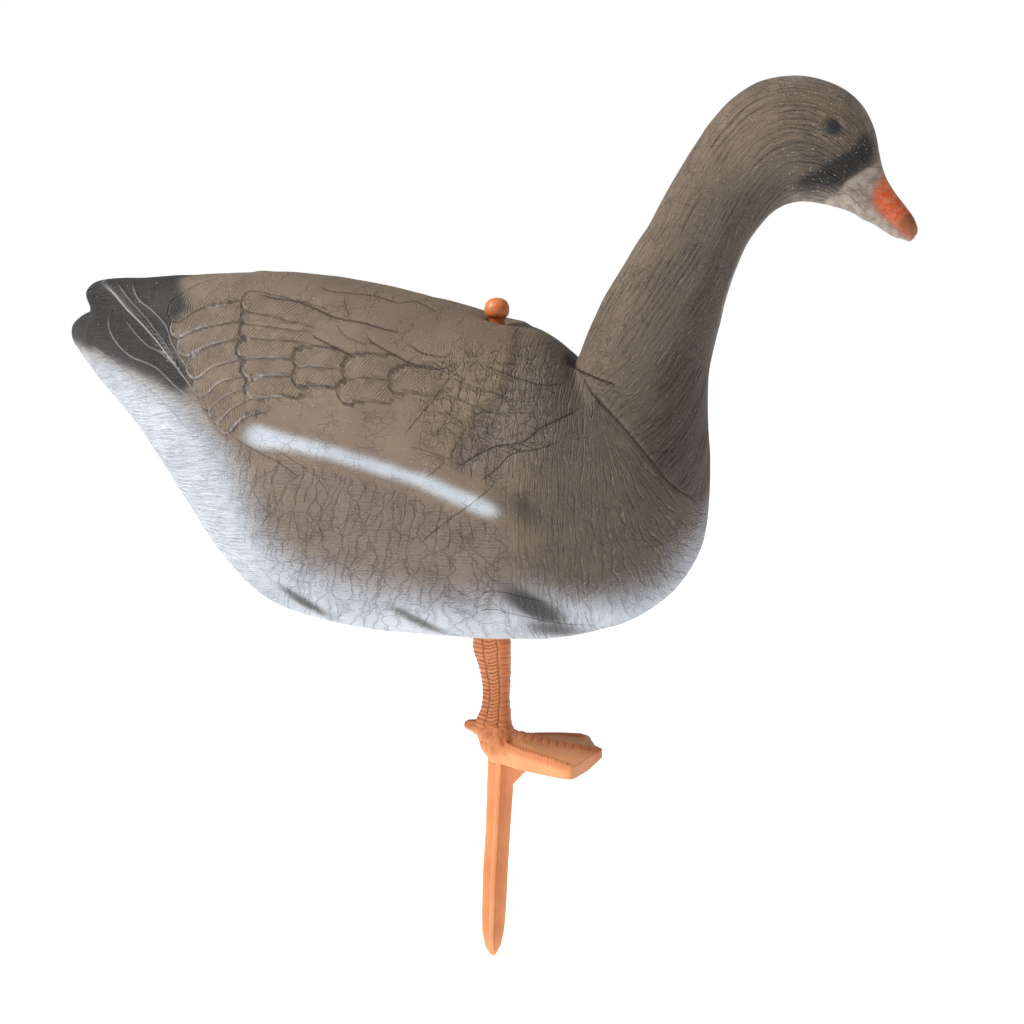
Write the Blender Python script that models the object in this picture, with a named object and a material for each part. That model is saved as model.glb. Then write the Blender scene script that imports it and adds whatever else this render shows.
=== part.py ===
"""Full-body foam goose decoy that stands on a plastic leg with a ground spike.

Two heat-formed foam halves meet on the centre plane. A round support rod with a mushroom knob
passes down through the back and the belly and plugs into the leg moulding, which carries the
webbed foot and the spike. The bird turns on the rod, and the rod pulls out of the leg.

Metres, +Z up, +X towards the bill. The origin is on the rod's axis, in the plane of the sole.
"""

import math

import bmesh
import bpy
from mathutils import Vector

MM = 0.001

# Foam halves.
WALL = 5.0 * MM
SEAM_GAP = 0.3 * MM
RIB_STEP = 20.0 * MM
OUTER_COLUMNS = 14
INNER_COLUMNS = 8
HOLLOW_MIN_WIDTH = 26.0 * MM
HOLLOW_MIN_CHORD = 60.0 * MM
SECTION_POWER = 0.88
SEAM_CROWDING = 0.6

# Support rod and its holes.
ROD_RADIUS = 6.0 * MM
ROD_CHAMFER = 0.8 * MM
ROD_FOOT_Z = 73.4 * MM
ROD_PLAY = 0.5 * MM
HOLE_TOP_Z = 360.0 * MM
DIMPLE_DEPTH = 6.0 * MM
DIMPLE_RADIUS = 13.0 * MM
DIMPLE_MIN_Z = 250.0 * MM
ROD_SIDES = 32

# Leg moulding.
LEG_TOP_Z = 98.0 * MM
SOCKET_DEPTH = 25.0 * MM
SOCKET_PLAY = 0.4 * MM
LEG_SIDES = 24
SPIKE_FIN = 3.8 * MM
SPIKE_TIP_X = -3.9 * MM
SPIKE_TIP_Z = -158.4 * MM
SPIKE_TIP_HALF = 0.95 * MM
FIN_STAGGER = 0.4 * MM

# Ribs of the body from tail tip to bill tip: top seam x, z, bottom seam x, z and half width, in mm.
RIBS = (
    (-329.0, 321.5, -329.0, 320.5, 0.0),
    (-321.0, 331.5, -323.0, 311.0, 22.0),
    (-313.5, 337.0, -316.0, 303.0, 32.0),
    (-307.5, 340.5, -309.5, 295.5, 37.0),
    (-304.5, 351.0, -303.0, 287.5, 40.0),
    (-302.0, 360.0, -297.0, 280.5, 42.0),
    (-294.5, 363.5, -288.0, 270.5, 44.0),
    (-273.0, 364.5, -272.5, 252.5, 49.0),
    (-250.0, 366.0, -254.0, 226.0, 56.0),
    (-224.5, 367.0, -230.5, 190.0, 64.0),
    (-199.5, 368.5, -206.5, 154.5, 71.0),
    (-174.5, 369.0, -180.5, 128.5, 78.0),
    (-149.5, 368.0, -154.5, 115.0, 84.0),
    (-100.5, 361.5, -104.0, 104.0, 92.0),
    (-52.0, 351.0, -53.5, 100.0, 96.0),
    (-11.5, 342.0, -4.0, 98.6, 97.0),
    (20.5, 333.5, 45.0, 100.5, 95.5),
    (38.5, 325.0, 81.5, 108.0, 92.0),
    (50.5, 315.5, 111.5, 120.5, 88.0),
    (57.0, 309.0, 137.5, 142.0, 83.0),
    (60.0, 307.0, 154.0, 172.5, 77.0),
    (62.0, 311.0, 158.5, 206.0, 70.0),
    (64.5, 318.0, 158.5, 237.5, 62.0),
    (67.5, 326.0, 157.0, 264.5, 54.0),
    (72.0, 336.5, 156.5, 285.0, 47.0),
    (79.5, 353.0, 157.5, 303.5, 41.0),
    (91.5, 373.5, 161.0, 321.0, 37.0),
    (103.0, 392.5, 165.5, 341.5, 34.0),
    (114.5, 411.0, 170.5, 361.0, 32.5),
    (125.5, 431.5, 176.0, 377.5, 32.0),
    (137.0, 451.0, 182.5, 392.5, 32.0),
    (148.0, 469.0, 190.5, 405.0, 32.5),
    (159.5, 485.0, 199.5, 415.5, 33.5),
    (172.5, 498.0, 209.0, 422.0, 35.0),
    (188.5, 508.0, 219.5, 424.5, 36.0),
    (204.0, 512.0, 230.0, 424.0, 36.5),
    (221.0, 512.5, 240.0, 422.0, 35.5),
    (238.0, 508.5, 249.5, 419.5, 33.5),
    (252.0, 501.5, 257.5, 416.5, 30.0),
    (263.5, 490.5, 264.0, 412.5, 25.5),
    (271.5, 474.5, 269.5, 410.0, 21.0),
    (275.5, 457.0, 274.5, 407.5, 17.0),
    (280.0, 443.0, 280.0, 404.0, 14.5),
    (286.5, 432.0, 286.5, 400.0, 13.0),
    (294.5, 422.0, 293.5, 398.0, 12.0),
    (301.0, 413.0, 299.0, 397.0, 10.0),
    (304.0, 405.0, 303.0, 402.0, 0.0),
)

# Rings of the leg from the top down: height, centre x, half depth in x, half width in y, in mm.
LEG_RINGS = (
    (98.0, -4.1, 14.6, 10.0),
    (86.0, -4.1, 14.6, 10.0),
    (78.0, -2.7, 13.2, 9.6),
    (70.5, -1.5, 12.0, 9.2),
    (54.5, -0.8, 10.5, 8.6),
    (45.0, -1.0, 10.8, 8.8),
    (38.0, -1.5, 12.0, 9.4),
    (30.0, -3.5, 14.5, 10.5),
    (20.0, -1.0, 15.5, 12.0),
    (9.0, 2.0, 14.0, 12.0),
    (2.5, 5.0, 12.0, 10.0),
)

# Plan of the webbed foot on the bird's right side: x, y, top height, in mm.
FOOT_PLAN = (
    (-5.0, 0.0, 14.0),
    (-3.0, -8.0, 13.0),
    (8.0, -14.0, 15.0),
    (20.0, -24.0, 14.5),
    (43.0, -36.0, 13.0),
    (60.0, -43.0, 11.3),
    (64.5, -41.0, 10.5),
    (68.0, -33.0, 10.0),
)
FOOT_CROWN = (12.0, 0.0, 22.0)
TOE_TIP = (81.0, 0.0, 12.0)
TOE_TIP_LIFT = 5.5

# Toes as tapered bars: centre x, z and radius along their length, in mm.
MIDDLE_TOE = (
    (4.0, 16.0, 9.0),
    (19.0, 15.5, 7.5),
    (45.0, 12.0, 6.0),
    (71.0, 9.3, 5.0),
    (80.0, 8.6, 2.6),
)
HIND_TOE = (
    (4.0, 20.0, 9.5),
    (-10.0, 22.0, 8.5),
    (-19.0, 26.0, 5.2),
    (-26.5, 26.5, 2.0),
)

# The spike from its top down: height, centre x, half span of the fins, in mm.
SPIKE_RINGS = (
    (6.0, 3.0, 10.1),
    (-24.5, 1.9, 10.1),
    (-56.5, 0.3, 9.5),
    (-89.0, -1.7, 9.7),
    (-121.5, -2.9, 9.4),
    (-138.0, -3.6, 8.6),
    (-152.0, -3.8, 6.0),
)

# The knob's outline above the rod: radius and height, in mm.
KNOB_OUTLINE = (
    (6.0, 338.4),
    (7.6, 339.5),
    (9.0, 341.6),
    (9.3, 344.2),
    (8.7, 347.4),
    (7.0, 350.3),
    (4.3, 352.4),
    (1.6, 353.2),
)

# The rib under the foot in front of the spike: x and z of its corners, in mm.
GUSSET = ((6.0, 4.0), (33.0, 4.0), (30.0, 0.5), (12.0, -19.5), (6.0, -19.5))
GUSSET_HALF_WIDTH = 2.0 * MM


def clear_scene():
    """Removes whatever the scene holds."""
    for thing in list(bpy.data.objects):
        bpy.data.objects.remove(thing, do_unlink=True)


def make_material(name, colour, roughness, metallic=0.0):
    """A Principled material in one colour."""
    material = bpy.data.materials.new(name)
    material.use_nodes = True
    shader = material.node_tree.nodes["Principled BSDF"]
    shader.inputs["Base Color"].default_value = (*colour, 1.0)
    shader.inputs["Roughness"].default_value = roughness
    shader.inputs["Metallic"].default_value = metallic
    return material


def mesh_object(name, bm, material=None):
    """Puts a finished bmesh in the scene as an object whose faces point outwards."""
    bmesh.ops.recalc_face_normals(bm, faces=bm.faces)
    mesh = bpy.data.meshes.new(name)
    bm.to_mesh(mesh)
    bm.free()
    thing = bpy.data.objects.new(name, mesh)
    bpy.context.scene.collection.objects.link(thing)
    if material:
        mesh.materials.append(material)
    return thing


def combine(target, tool, operation):
    """Joins a tool to the target, or cuts it out, and removes the tool."""
    step = target.modifiers.new(operation.lower(), "BOOLEAN")
    step.object = tool
    step.operation = operation
    step.solver = "EXACT"
    bpy.context.view_layer.objects.active = target
    bpy.ops.object.modifier_apply(modifier=step.name)
    bpy.data.objects.remove(tool, do_unlink=True)


def shade_round(thing, angle=40.0):
    """Shades a round piece smooth, with its true corners kept sharp."""
    thing.data.shade_smooth()
    thing.data.set_sharp_from_angle(angle=math.radians(angle))


def smooth_between(rows, index, fraction):
    """A Catmull-Rom point between two rows of numbers."""
    last = len(rows) - 1
    before = rows[max(index - 1, 0)]
    here = rows[index]
    after = rows[min(index + 1, last)]
    beyond = rows[min(index + 2, last)]
    f2 = fraction * fraction
    f3 = f2 * fraction
    return tuple(
        0.5 * (2.0 * p1 + (p2 - p0) * fraction + (2.0 * p0 - 5.0 * p1 + 4.0 * p2 - p3) * f2
               + (3.0 * p1 - p0 - 3.0 * p2 + p3) * f3)
        for p0, p1, p2, p3 in zip(before, here, after, beyond)
    )


def body_stations():
    """The ribs in metres, with more between them where they stand far apart."""
    rows = [tuple(value * MM for value in rib) for rib in RIBS]
    stations = []
    for index in range(len(rows) - 1):
        here, after = rows[index], rows[index + 1]
        top_step = math.hypot(after[0] - here[0], after[1] - here[1])
        bottom_step = math.hypot(after[2] - here[2], after[3] - here[3])
        parts = max(1, math.ceil(max(top_step, bottom_step) / RIB_STEP))
        for part in range(parts):
            stations.append(smooth_between(rows, index, part / parts))
    stations.append(rows[-1])
    return stations


def section(station, columns, inset):
    """Points of one half rib from the top seam to the bottom seam, on the bird's right side."""
    top_x, top_z, bottom_x, bottom_z, width = station
    chord = math.hypot(bottom_x - top_x, bottom_z - top_z)
    trim = inset / chord if chord > 0.0 else 0.0
    points = []
    for column in range(columns + 1):
        t = column / columns
        eased = (1.0 - SEAM_CROWDING) * t + SEAM_CROWDING * t * t * (3.0 - 2.0 * t)
        angle = math.pi * eased
        along = trim + (1.0 - 2.0 * trim) * (1.0 - math.cos(angle)) / 2.0
        bulge = max(math.sin(angle), 0.0) ** SECTION_POWER
        x = top_x + (bottom_x - top_x) * along
        y = -SEAM_GAP / 2.0 - (width - inset) * bulge
        z = top_z + (bottom_z - top_z) * along
        points.append(dimpled(x, y, z))
    return points


def dimpled(x, y, z):
    """Sinks the foam around the rod's upper hole."""
    if z > DIMPLE_MIN_Z:
        z -= DIMPLE_DEPTH * math.exp(-(x * x + y * y) / DIMPLE_RADIUS**2)
    return x, y, z


def hollow_range(stations):
    """First and last station between which the foam half is hollow."""
    wide = [
        index
        for index, (top_x, top_z, bottom_x, bottom_z, width) in enumerate(stations)
        if width > HOLLOW_MIN_WIDTH
        and math.hypot(bottom_x - top_x, bottom_z - top_z) > HOLLOW_MIN_CHORD
    ]
    return wide[0], wide[-1]


def skin_faces(bm, rows, start, end):
    """Quads between neighbouring rows of vertices, closed by fans at the two end vertices."""
    for here, after in zip(rows, rows[1:]):
        for column in range(len(here) - 1):
            bm.faces.new((here[column], here[column + 1], after[column + 1], after[column]))
    for tip, row in ((start, rows[0]), (end, rows[-1])):
        for first, second in zip(row, row[1:]):
            bm.faces.new((tip, first, second))


def seam_faces(bm, outer, tips, inner, ends, first, last):
    """The flat faces on the centre plane that the two halves share."""
    count = len(outer)
    for index in range(-1, count):
        here = outer[index] if index >= 0 else None
        after = outer[index + 1] if index + 1 < count else None
        if first <= index < last:
            inner_here = inner[index - first - 1] if index > first else None
            inner_after = inner[index - first] if index + 1 < last else None
            for side in (0, -1):
                start = inner_here[side] if inner_here else ends[0]
                finish = inner_after[side] if inner_after else ends[1]
                bm.faces.new((here[side], after[side], finish, start))
            continue
        corners = [tips[0]] if here is None else [here[0]]
        corners += [tips[1]] if after is None else [after[0]]
        if index + 1 == first:
            corners.append(ends[0])
        if after is not None:
            corners.append(after[-1])
        if here is not None:
            corners.append(here[-1])
            if index == last:
                corners.append(ends[1])
        bm.faces.new(corners)


def half_body(name, material):
    """One hollow foam half on the bird's right side, without its rod holes."""
    stations = body_stations()
    bm = bmesh.new()
    rows = [[bm.verts.new(p) for p in section(s, OUTER_COLUMNS, 0.0)] for s in stations[1:-1]]
    tips = [
        bm.verts.new(((s[0] + s[2]) / 2.0, -SEAM_GAP / 2.0, (s[1] + s[3]) / 2.0))
        for s in (stations[0], stations[-1])
    ]
    skin_faces(bm, rows, tips[0], tips[1])
    first, last = hollow_range(stations[1:-1])
    hollow = stations[1:-1][first + 1 : last]
    inner = [[bm.verts.new(p) for p in section(s, INNER_COLUMNS, WALL)] for s in hollow]
    ends = [
        bm.verts.new(((s[0] + s[2]) / 2.0, -SEAM_GAP / 2.0, (s[1] + s[3]) / 2.0))
        for s in (stations[1 + first], stations[1 + last])
    ]
    skin_faces(bm, inner, ends[0], ends[1])
    seam_faces(bm, rows, tips, inner, ends, first, last)
    return mesh_object(name, bm, material)


def cylinder(name, radius, low, high, sides=ROD_SIDES):
    """A closed upright cylinder on the rod's axis."""
    bm = bmesh.new()
    bmesh.ops.create_cone(
        bm, cap_ends=True, segments=sides, radius1=radius, radius2=radius, depth=high - low
    )
    bmesh.ops.translate(bm, vec=(0.0, 0.0, (low + high) / 2.0), verts=bm.verts)
    return mesh_object(name, bm)


def foam_shells():
    """The right and left foam halves, each with half of the two rod holes."""
    foam = make_material("foam_skin", (0.16, 0.13, 0.105), 0.75)
    right = half_body("right_shell", foam)
    hole = cylinder("rod_hole", ROD_RADIUS + ROD_PLAY, 0.0, HOLE_TOP_Z)
    combine(right, hole, "DIFFERENCE")
    shade_round(right)
    mirrored = right.data.copy()
    mirrored.name = "left_shell"
    bm = bmesh.new()
    bm.from_mesh(mirrored)
    bmesh.ops.scale(bm, vec=(1.0, -1.0, 1.0), verts=bm.verts)
    bmesh.ops.reverse_faces(bm, faces=bm.faces)
    bm.to_mesh(mirrored)
    bm.free()
    left = bpy.data.objects.new("left_shell", mirrored)
    bpy.context.scene.collection.objects.link(left)
    return right, left


def turned(name, outline, material=None, sides=ROD_SIDES):
    """A closed solid turned about the rod's axis from radius and height pairs, bottom to top."""
    bm = bmesh.new()
    rings = []
    for radius, height in outline:
        rings.append(ring_of(bm, sides, lambda c, s: (radius * c, radius * s, height)))
    close_rings(bm, rings)
    return mesh_object(name, bm, material)


def ring_of(bm, sides, place):
    """One ring of vertices, each placed from the cosine and sine of its angle."""
    angles = (2.0 * math.pi * index / sides for index in range(sides))
    return [bm.verts.new(place(math.cos(a), math.sin(a))) for a in angles]


def close_rings(bm, rings):
    """Side faces between rings of equal count, and a cap on each end."""
    for low, high in zip(rings, rings[1:]):
        for index in range(len(low)):
            after = (index + 1) % len(low)
            bm.faces.new((low[index], low[after], high[after], high[index]))
    bm.faces.new(rings[0])
    bm.faces.new(rings[-1])


def support_rod():
    """The round rod and its mushroom knob, one moulding."""
    plastic = make_material("rod_plastic", (0.62, 0.26, 0.11), 0.45)
    outline = [
        (ROD_RADIUS - ROD_CHAMFER, ROD_FOOT_Z),
        (ROD_RADIUS, ROD_FOOT_Z + ROD_CHAMFER),
    ]
    outline += [(radius * MM, height * MM) for radius, height in KNOB_OUTLINE]
    rod = turned("support_rod", outline, plastic)
    shade_round(rod)
    return rod


def leg_column():
    """The scaled leg from the platform under the belly down into the foot."""
    bm = bmesh.new()
    rings = []
    for height, centre, depth, width in LEG_RINGS:
        rings.append(
            ring_of(
                bm,
                LEG_SIDES,
                lambda c, s: ((centre + depth * c) * MM, width * s * MM, height * MM),
            )
        )
    close_rings(bm, rings)
    return mesh_object("leg_stake", bm)


def foot_plate():
    """The webbed foot, flat underneath, sloping down towards the toes, with its tip lifted."""
    right = list(FOOT_PLAN)
    left = [(x, -y, z) for x, y, z in reversed(FOOT_PLAN) if y != 0.0]
    bm = bmesh.new()
    bottom = [bm.verts.new((x * MM, y * MM, 0.0)) for x, y, z in right + left]
    top = [bm.verts.new((x * MM, y * MM, z * MM)) for x, y, z in right + left]
    crown = bm.verts.new(Vector(FOOT_CROWN) * MM)
    tip_top = bm.verts.new(Vector(TOE_TIP) * MM)
    tip_bottom = bm.verts.new(Vector((TOE_TIP[0], 0.0, TOE_TIP_LIFT)) * MM)
    bm.faces.new(bottom)
    last = len(right) - 1
    bm.faces.new((bottom[last], bottom[last + 1], tip_bottom))
    for index in range(len(bottom)):
        after = (index + 1) % len(bottom)
        if index == last:
            for side in (index, after):
                bm.faces.new((bottom[side], top[side], tip_top, tip_bottom))
                bm.faces.new((top[side], tip_top, crown))
            continue
        bm.faces.new((bottom[index], bottom[after], top[after], top[index]))
        bm.faces.new((top[index], top[after], crown))
    return mesh_object("foot_plate", bm)


def toe(name, stations):
    """One round tapered toe lying fore and aft on the centre plane."""
    bm = bmesh.new()
    rings = []
    for x, z, radius in stations:
        rings.append(
            ring_of(bm, LEG_SIDES // 2, lambda c, s: (x * MM, radius * c * MM, (z + radius * s) * MM))
        )
    close_rings(bm, rings)
    return mesh_object(name, bm)


def spike_fin(across):
    """One tapering fin of the cross-shaped spike, standing fore and aft or across the bird."""
    bm = bmesh.new()
    half = SPIKE_FIN / 2.0
    outline = [(height * MM, centre * MM, span * MM, half) for height, centre, span in SPIKE_RINGS]
    tip_z = SPIKE_TIP_Z if across else SPIKE_TIP_Z + FIN_STAGGER
    outline.append((tip_z, SPIKE_TIP_X, SPIKE_TIP_HALF, SPIKE_TIP_HALF))
    rings = []
    for height, centre, span, thickness in outline:
        depth, width = (thickness, span) if across else (span, thickness)
        rings.append(
            [
                bm.verts.new((centre + depth * i, width * j, height))
                for i, j in ((1, 1), (-1, 1), (-1, -1), (1, -1))
            ]
        )
    close_rings(bm, rings)
    return mesh_object("spike_fin", bm)


def gusset():
    """The thin rib that braces the spike against the sole."""
    bm = bmesh.new()
    sides = [
        [bm.verts.new((x * MM, y, z * MM)) for x, z in GUSSET]
        for y in (-GUSSET_HALF_WIDTH, GUSSET_HALF_WIDTH)
    ]
    close_rings(bm, sides)
    return mesh_object("gusset", bm)


def leg_stake():
    """Leg, foot, hind toe and spike, one moulding with the rod's socket in its top."""
    plastic = make_material("stake_plastic", (0.74, 0.36, 0.17), 0.5)
    stake = leg_column()
    toes = (toe("middle_toe", MIDDLE_TOE), toe("hind_toe", HIND_TOE))
    for piece in (foot_plate(), *toes, spike_fin(False), spike_fin(True), gusset()):
        combine(stake, piece, "UNION")
    socket = cylinder(
        "socket", ROD_RADIUS + SOCKET_PLAY, LEG_TOP_Z - SOCKET_DEPTH, LEG_TOP_Z + SOCKET_DEPTH
    )
    combine(stake, socket, "DIFFERENCE")
    stake.data.materials.clear()
    stake.data.materials.append(plastic)
    shade_round(stake)
    return stake


def main():
    """Builds the whole decoy."""
    clear_scene()
    foam_shells()
    support_rod()
    leg_stake()


main()
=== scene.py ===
"""Looks of the foam goose decoy: feathered, airbrushed foam halves, a scaled leg and a turned rod.

Feature tables are in millimetres in the side view: X towards the bill and Z up, as in the frame.
"""

import math

import bmesh
import bpy
import numpy as np
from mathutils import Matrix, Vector


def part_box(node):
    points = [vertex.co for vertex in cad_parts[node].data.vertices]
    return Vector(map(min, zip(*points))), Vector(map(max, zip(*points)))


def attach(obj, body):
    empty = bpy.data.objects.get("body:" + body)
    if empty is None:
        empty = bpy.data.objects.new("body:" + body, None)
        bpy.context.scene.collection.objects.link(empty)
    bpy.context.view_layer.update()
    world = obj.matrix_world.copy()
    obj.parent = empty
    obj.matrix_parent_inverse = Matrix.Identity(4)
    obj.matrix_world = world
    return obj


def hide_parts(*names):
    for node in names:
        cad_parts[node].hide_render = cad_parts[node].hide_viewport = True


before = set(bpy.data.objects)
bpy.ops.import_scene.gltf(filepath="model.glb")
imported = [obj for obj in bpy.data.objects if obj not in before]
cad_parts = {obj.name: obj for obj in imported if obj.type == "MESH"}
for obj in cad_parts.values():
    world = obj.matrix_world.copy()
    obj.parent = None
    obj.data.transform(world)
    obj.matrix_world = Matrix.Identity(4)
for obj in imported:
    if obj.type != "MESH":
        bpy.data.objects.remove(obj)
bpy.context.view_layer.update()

MM = 0.001

# ---------------------------------------------------------------- surface of the foam halves

WALL = 5.0
SEAM_GAP = 0.3
BODY_POWER = 0.86
HEAD_POWER = 0.62
SEAM_CROWDING = 0.6
STATION_STEP = 2.4
SKIN_COLUMNS = 154
INNER_COLUMNS = 10
HOLLOW_MIN_WIDTH = 26.0
HOLLOW_MIN_CHORD = 60.0
SEAM_ROUNDING = 2.2
HOLE_RADIUS = 6.5
HOLE_REACH = (14.0, 45.0)
DIMPLE_DEPTH = 6.0
DIMPLE_RADIUS = 13.0
DIMPLE_MIN_Z = 250.0
SADDLE_DEPTH = 2.5
SADDLE_RADIUS = 20.0
WING_TIP_OVERHANG = 8.0
SOLID_END_WIDTH = 8.0

# Ribs of the body from tail tip to bill tip: top seam x, z, bottom seam x, z and half width.
RIBS = (
    (-329.0, 321.5, -329.0, 320.5, 0.0),
    (-327.0, 330.5, -325.0, 313.0, 14.0),
    (-316.0, 338.5, -316.5, 303.5, 27.0),
    (-307.5, 341.5, -309.5, 295.5, 35.0),
    (-304.5, 351.0, -303.0, 287.5, 40.0),
    (-302.0, 360.0, -297.0, 280.5, 42.0),
    (-294.5, 363.5, -288.0, 270.5, 44.0),
    (-273.0, 364.5, -272.5, 252.5, 49.0),
    (-250.0, 366.0, -254.0, 226.0, 56.0),
    (-224.5, 367.0, -230.5, 190.0, 64.0),
    (-199.5, 368.5, -206.5, 154.5, 71.0),
    (-174.5, 369.0, -180.5, 128.5, 78.0),
    (-149.5, 368.0, -154.5, 115.0, 84.0),
    (-100.5, 361.5, -104.0, 104.0, 92.0),
    (-52.0, 351.0, -53.5, 100.0, 96.0),
    (-11.5, 342.0, -4.0, 98.6, 97.0),
    (20.5, 333.5, 45.0, 100.5, 95.5),
    (38.5, 325.0, 81.5, 108.0, 92.0),
    (50.5, 315.5, 111.5, 120.5, 88.0),
    (57.0, 309.0, 137.5, 142.0, 83.0),
    (60.0, 307.0, 154.0, 172.5, 77.0),
    (62.0, 311.0, 158.5, 206.0, 70.0),
    (64.5, 318.0, 158.5, 237.5, 62.0),
    (67.5, 326.0, 157.0, 264.5, 54.0),
    (72.0, 336.5, 156.5, 285.0, 47.0),
    (79.5, 353.0, 157.5, 303.5, 41.0),
    (91.5, 373.5, 161.0, 321.0, 37.0),
    (103.0, 392.5, 165.5, 341.5, 34.0),
    (114.5, 411.0, 170.5, 361.0, 32.5),
    (125.5, 431.5, 176.0, 377.5, 32.0),
    (137.0, 451.0, 182.5, 392.5, 32.0),
    (148.0, 469.0, 190.5, 405.0, 32.5),
    (159.5, 485.0, 199.5, 415.5, 33.5),
    (172.5, 498.0, 209.0, 422.0, 35.0),
    (188.5, 508.0, 219.5, 424.5, 36.0),
    (204.0, 512.0, 230.0, 424.0, 36.5),
    (221.0, 512.5, 240.0, 422.0, 35.5),
    (238.0, 508.5, 249.5, 419.5, 33.5),
    (252.0, 501.5, 257.5, 416.5, 30.0),
    (263.5, 490.5, 264.0, 412.5, 25.5),
    (271.5, 474.5, 269.5, 410.0, 21.0),
    (275.5, 457.0, 274.5, 407.5, 17.0),
    (280.0, 443.0, 280.0, 404.0, 14.5),
    (286.5, 432.0, 286.5, 400.0, 13.0),
    (294.5, 422.0, 293.5, 398.0, 12.0),
    (301.0, 413.0, 299.0, 397.0, 10.0),
    (304.0, 405.0, 303.0, 402.0, 0.0),
)

# Feathers from the lowest layer up: tip x, z, middle x, z, root x, z, half width, paleness of the rim.
FEATHERS = (
    (-192.0, 264.0, -172.0, 276.0, -145.0, 284.0, 6.5, 0.9),
    (-199.0, 272.0, -180.0, 283.0, -150.0, 297.0, 6.5, 0.8),
    (-206.0, 281.0, -186.0, 291.0, -155.0, 303.0, 6.5, 0.5),
    (-212.0, 291.0, -190.0, 302.0, -155.0, 309.0, 7.5, 0.7),
    (-218.0, 304.0, -196.0, 313.0, -160.0, 322.0, 8.0, 0.9),
    (-226.0, 319.0, -200.0, 327.0, -160.0, 337.0, 7.5, 1.0),
    (-233.0, 331.0, -205.0, 339.0, -165.0, 345.0, 7.0, 0.9),
    (-236.0, 343.5, -209.0, 354.0, -170.0, 361.0, 8.5, 0.1),
    (-169.0, 291.0, -148.0, 293.0, -112.0, 294.0, 7.5, 0.8),
    (-173.0, 305.0, -150.0, 307.0, -116.0, 307.0, 6.8, 0.6),
    (-178.0, 318.0, -155.0, 319.5, -118.0, 319.0, 7.2, 0.4),
    (-177.0, 331.0, -150.0, 330.0, -114.0, 328.0, 5.2, 0.2),
    (-177.0, 340.0, -150.0, 338.0, -112.0, 334.0, 5.0, 0.2),
    (-179.0, 350.0, -150.0, 346.5, -108.0, 338.0, 6.8, 0.1),
    (-133.0, 300.0, -118.0, 301.0, -90.0, 300.0, 6.4, 0.2),
    (-134.0, 313.0, -120.0, 314.0, -90.0, 312.0, 6.8, 0.2),
    (-99.0, 291.0, -82.0, 293.0, -52.0, 291.0, 8.5, 0.0),
    (-97.0, 307.0, -80.0, 308.5, -50.0, 306.0, 8.0, 0.0),
    (-63.0, 299.0, -46.0, 300.0, -22.0, 296.0, 9.0, 0.0),
)
FEATHER_LIFT = 1.1

# Creases in the foam skin: depth, half width of the groove and darkness of the painted shade in it, then
# their points.
CREASES = (
    (0.9, 0.9, 1.0, ((-169, 355), (-155, 352), (-137, 350), (-121, 345), (-106, 340), (-88, 337),
      (-72, 333),
                     (-54, 329))),
    (0.7, 0.8, 0.7, ((-127, 361), (-115, 357), (-94, 355), (-81, 353), (-66, 349), (-54, 349), (-34, 341))),
    (0.6, 0.8, 0.6, ((-105, 354), (-101, 347), (-96, 340))),
    (0.9, 0.9, 1.0, ((-123, 329), (-103, 320), (-88, 314))),
    (0.9, 0.9, 0.9, ((-84, 332), (-79, 325), (-63, 317), (-50, 311), (-31, 306), (-17, 310), (-9, 313))),
    (0.8, 0.9, 0.8, ((-52, 323), (-38, 316), (-20, 314))),
    (0.6, 0.8, 0.6, ((-105, 336), (-97, 328), (-80, 322))),
    (1.8, 1.3, 1.0, ((-13, 239), (2, 249), (17, 256), (35, 259), (48, 269), (67, 278), (76, 283))),
    (1.3, 1.2, 0.9, ((5, 231), (17, 240), (28, 251), (45, 254), (64, 261))),
    (0.9, 1.0, 0.8, ((-40, 182), (-34, 189), (-17, 203), (4, 219), (17, 230))),
    (0.9, 1.0, 0.7, ((-50, 261), (-30, 286), (-19, 302), (-10, 313))),
    (0.6, 0.9, 0.5, ((-46, 255), (-27, 250), (-12, 245))),
    (0.9, 1.0, 0.8, ((2, 310), (14, 305), (28, 302), (44, 297), (62, 297))),
    (1.6, 1.2, 1.0, ((52, 315), (60, 306), (78, 302), (99, 296))),
    (1.2, 1.1, 0.8, ((64, 305), (72, 299), (81, 289), (95, 277), (104, 268), (121, 248), (137, 227),
      (150, 215),
                     (158, 203))),
    (0.8, 1.0, 0.7, ((-37, 231), (-25, 239), (-14, 251), (-6, 268), (6, 281))),
    (0.7, 0.9, 0.6, ((-19, 302), (-6, 296), (10, 292), (30, 286))),
    (0.7, 0.9, 0.6, ((-24, 291), (-8, 285), (8, 280), (26, 276))),
    (0.7, 0.9, 0.6, ((-33, 281), (-16, 275), (0, 270), (20, 268))),
    (0.7, 0.9, 0.6, ((-8, 305), (-12, 290), (-18, 275), (-26, 262))),
    (0.7, 0.9, 0.6, ((6, 303), (3, 288), (-3, 272), (-9, 259))),
    (0.7, 0.9, 0.6, ((22, 300), (19, 286), (13, 272), (6, 258))),
    (0.8, 1.0, 0.9, ((-5, 131), (10, 134), (24, 130), (40, 126), (62, 121), (84, 118))),
    (0.7, 1.0, 0.8, ((0, 146), (14, 150), (30, 146), (52, 141))),
    (0.6, 0.9, 0.5, ((-150, 252), (-130, 240), (-114, 229), (-104, 216))),
    (0.9, 1.0, 0.7, ((-180, 256), (-160, 246), (-142, 238), (-127, 228))),
    (0.5, 0.8, 0.5, ((247, 434), (256, 429), (262, 423), (268, 417))),
    (0.4, 0.8, 0.4, ((252, 437), (260, 432), (267, 424))),
)

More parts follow.
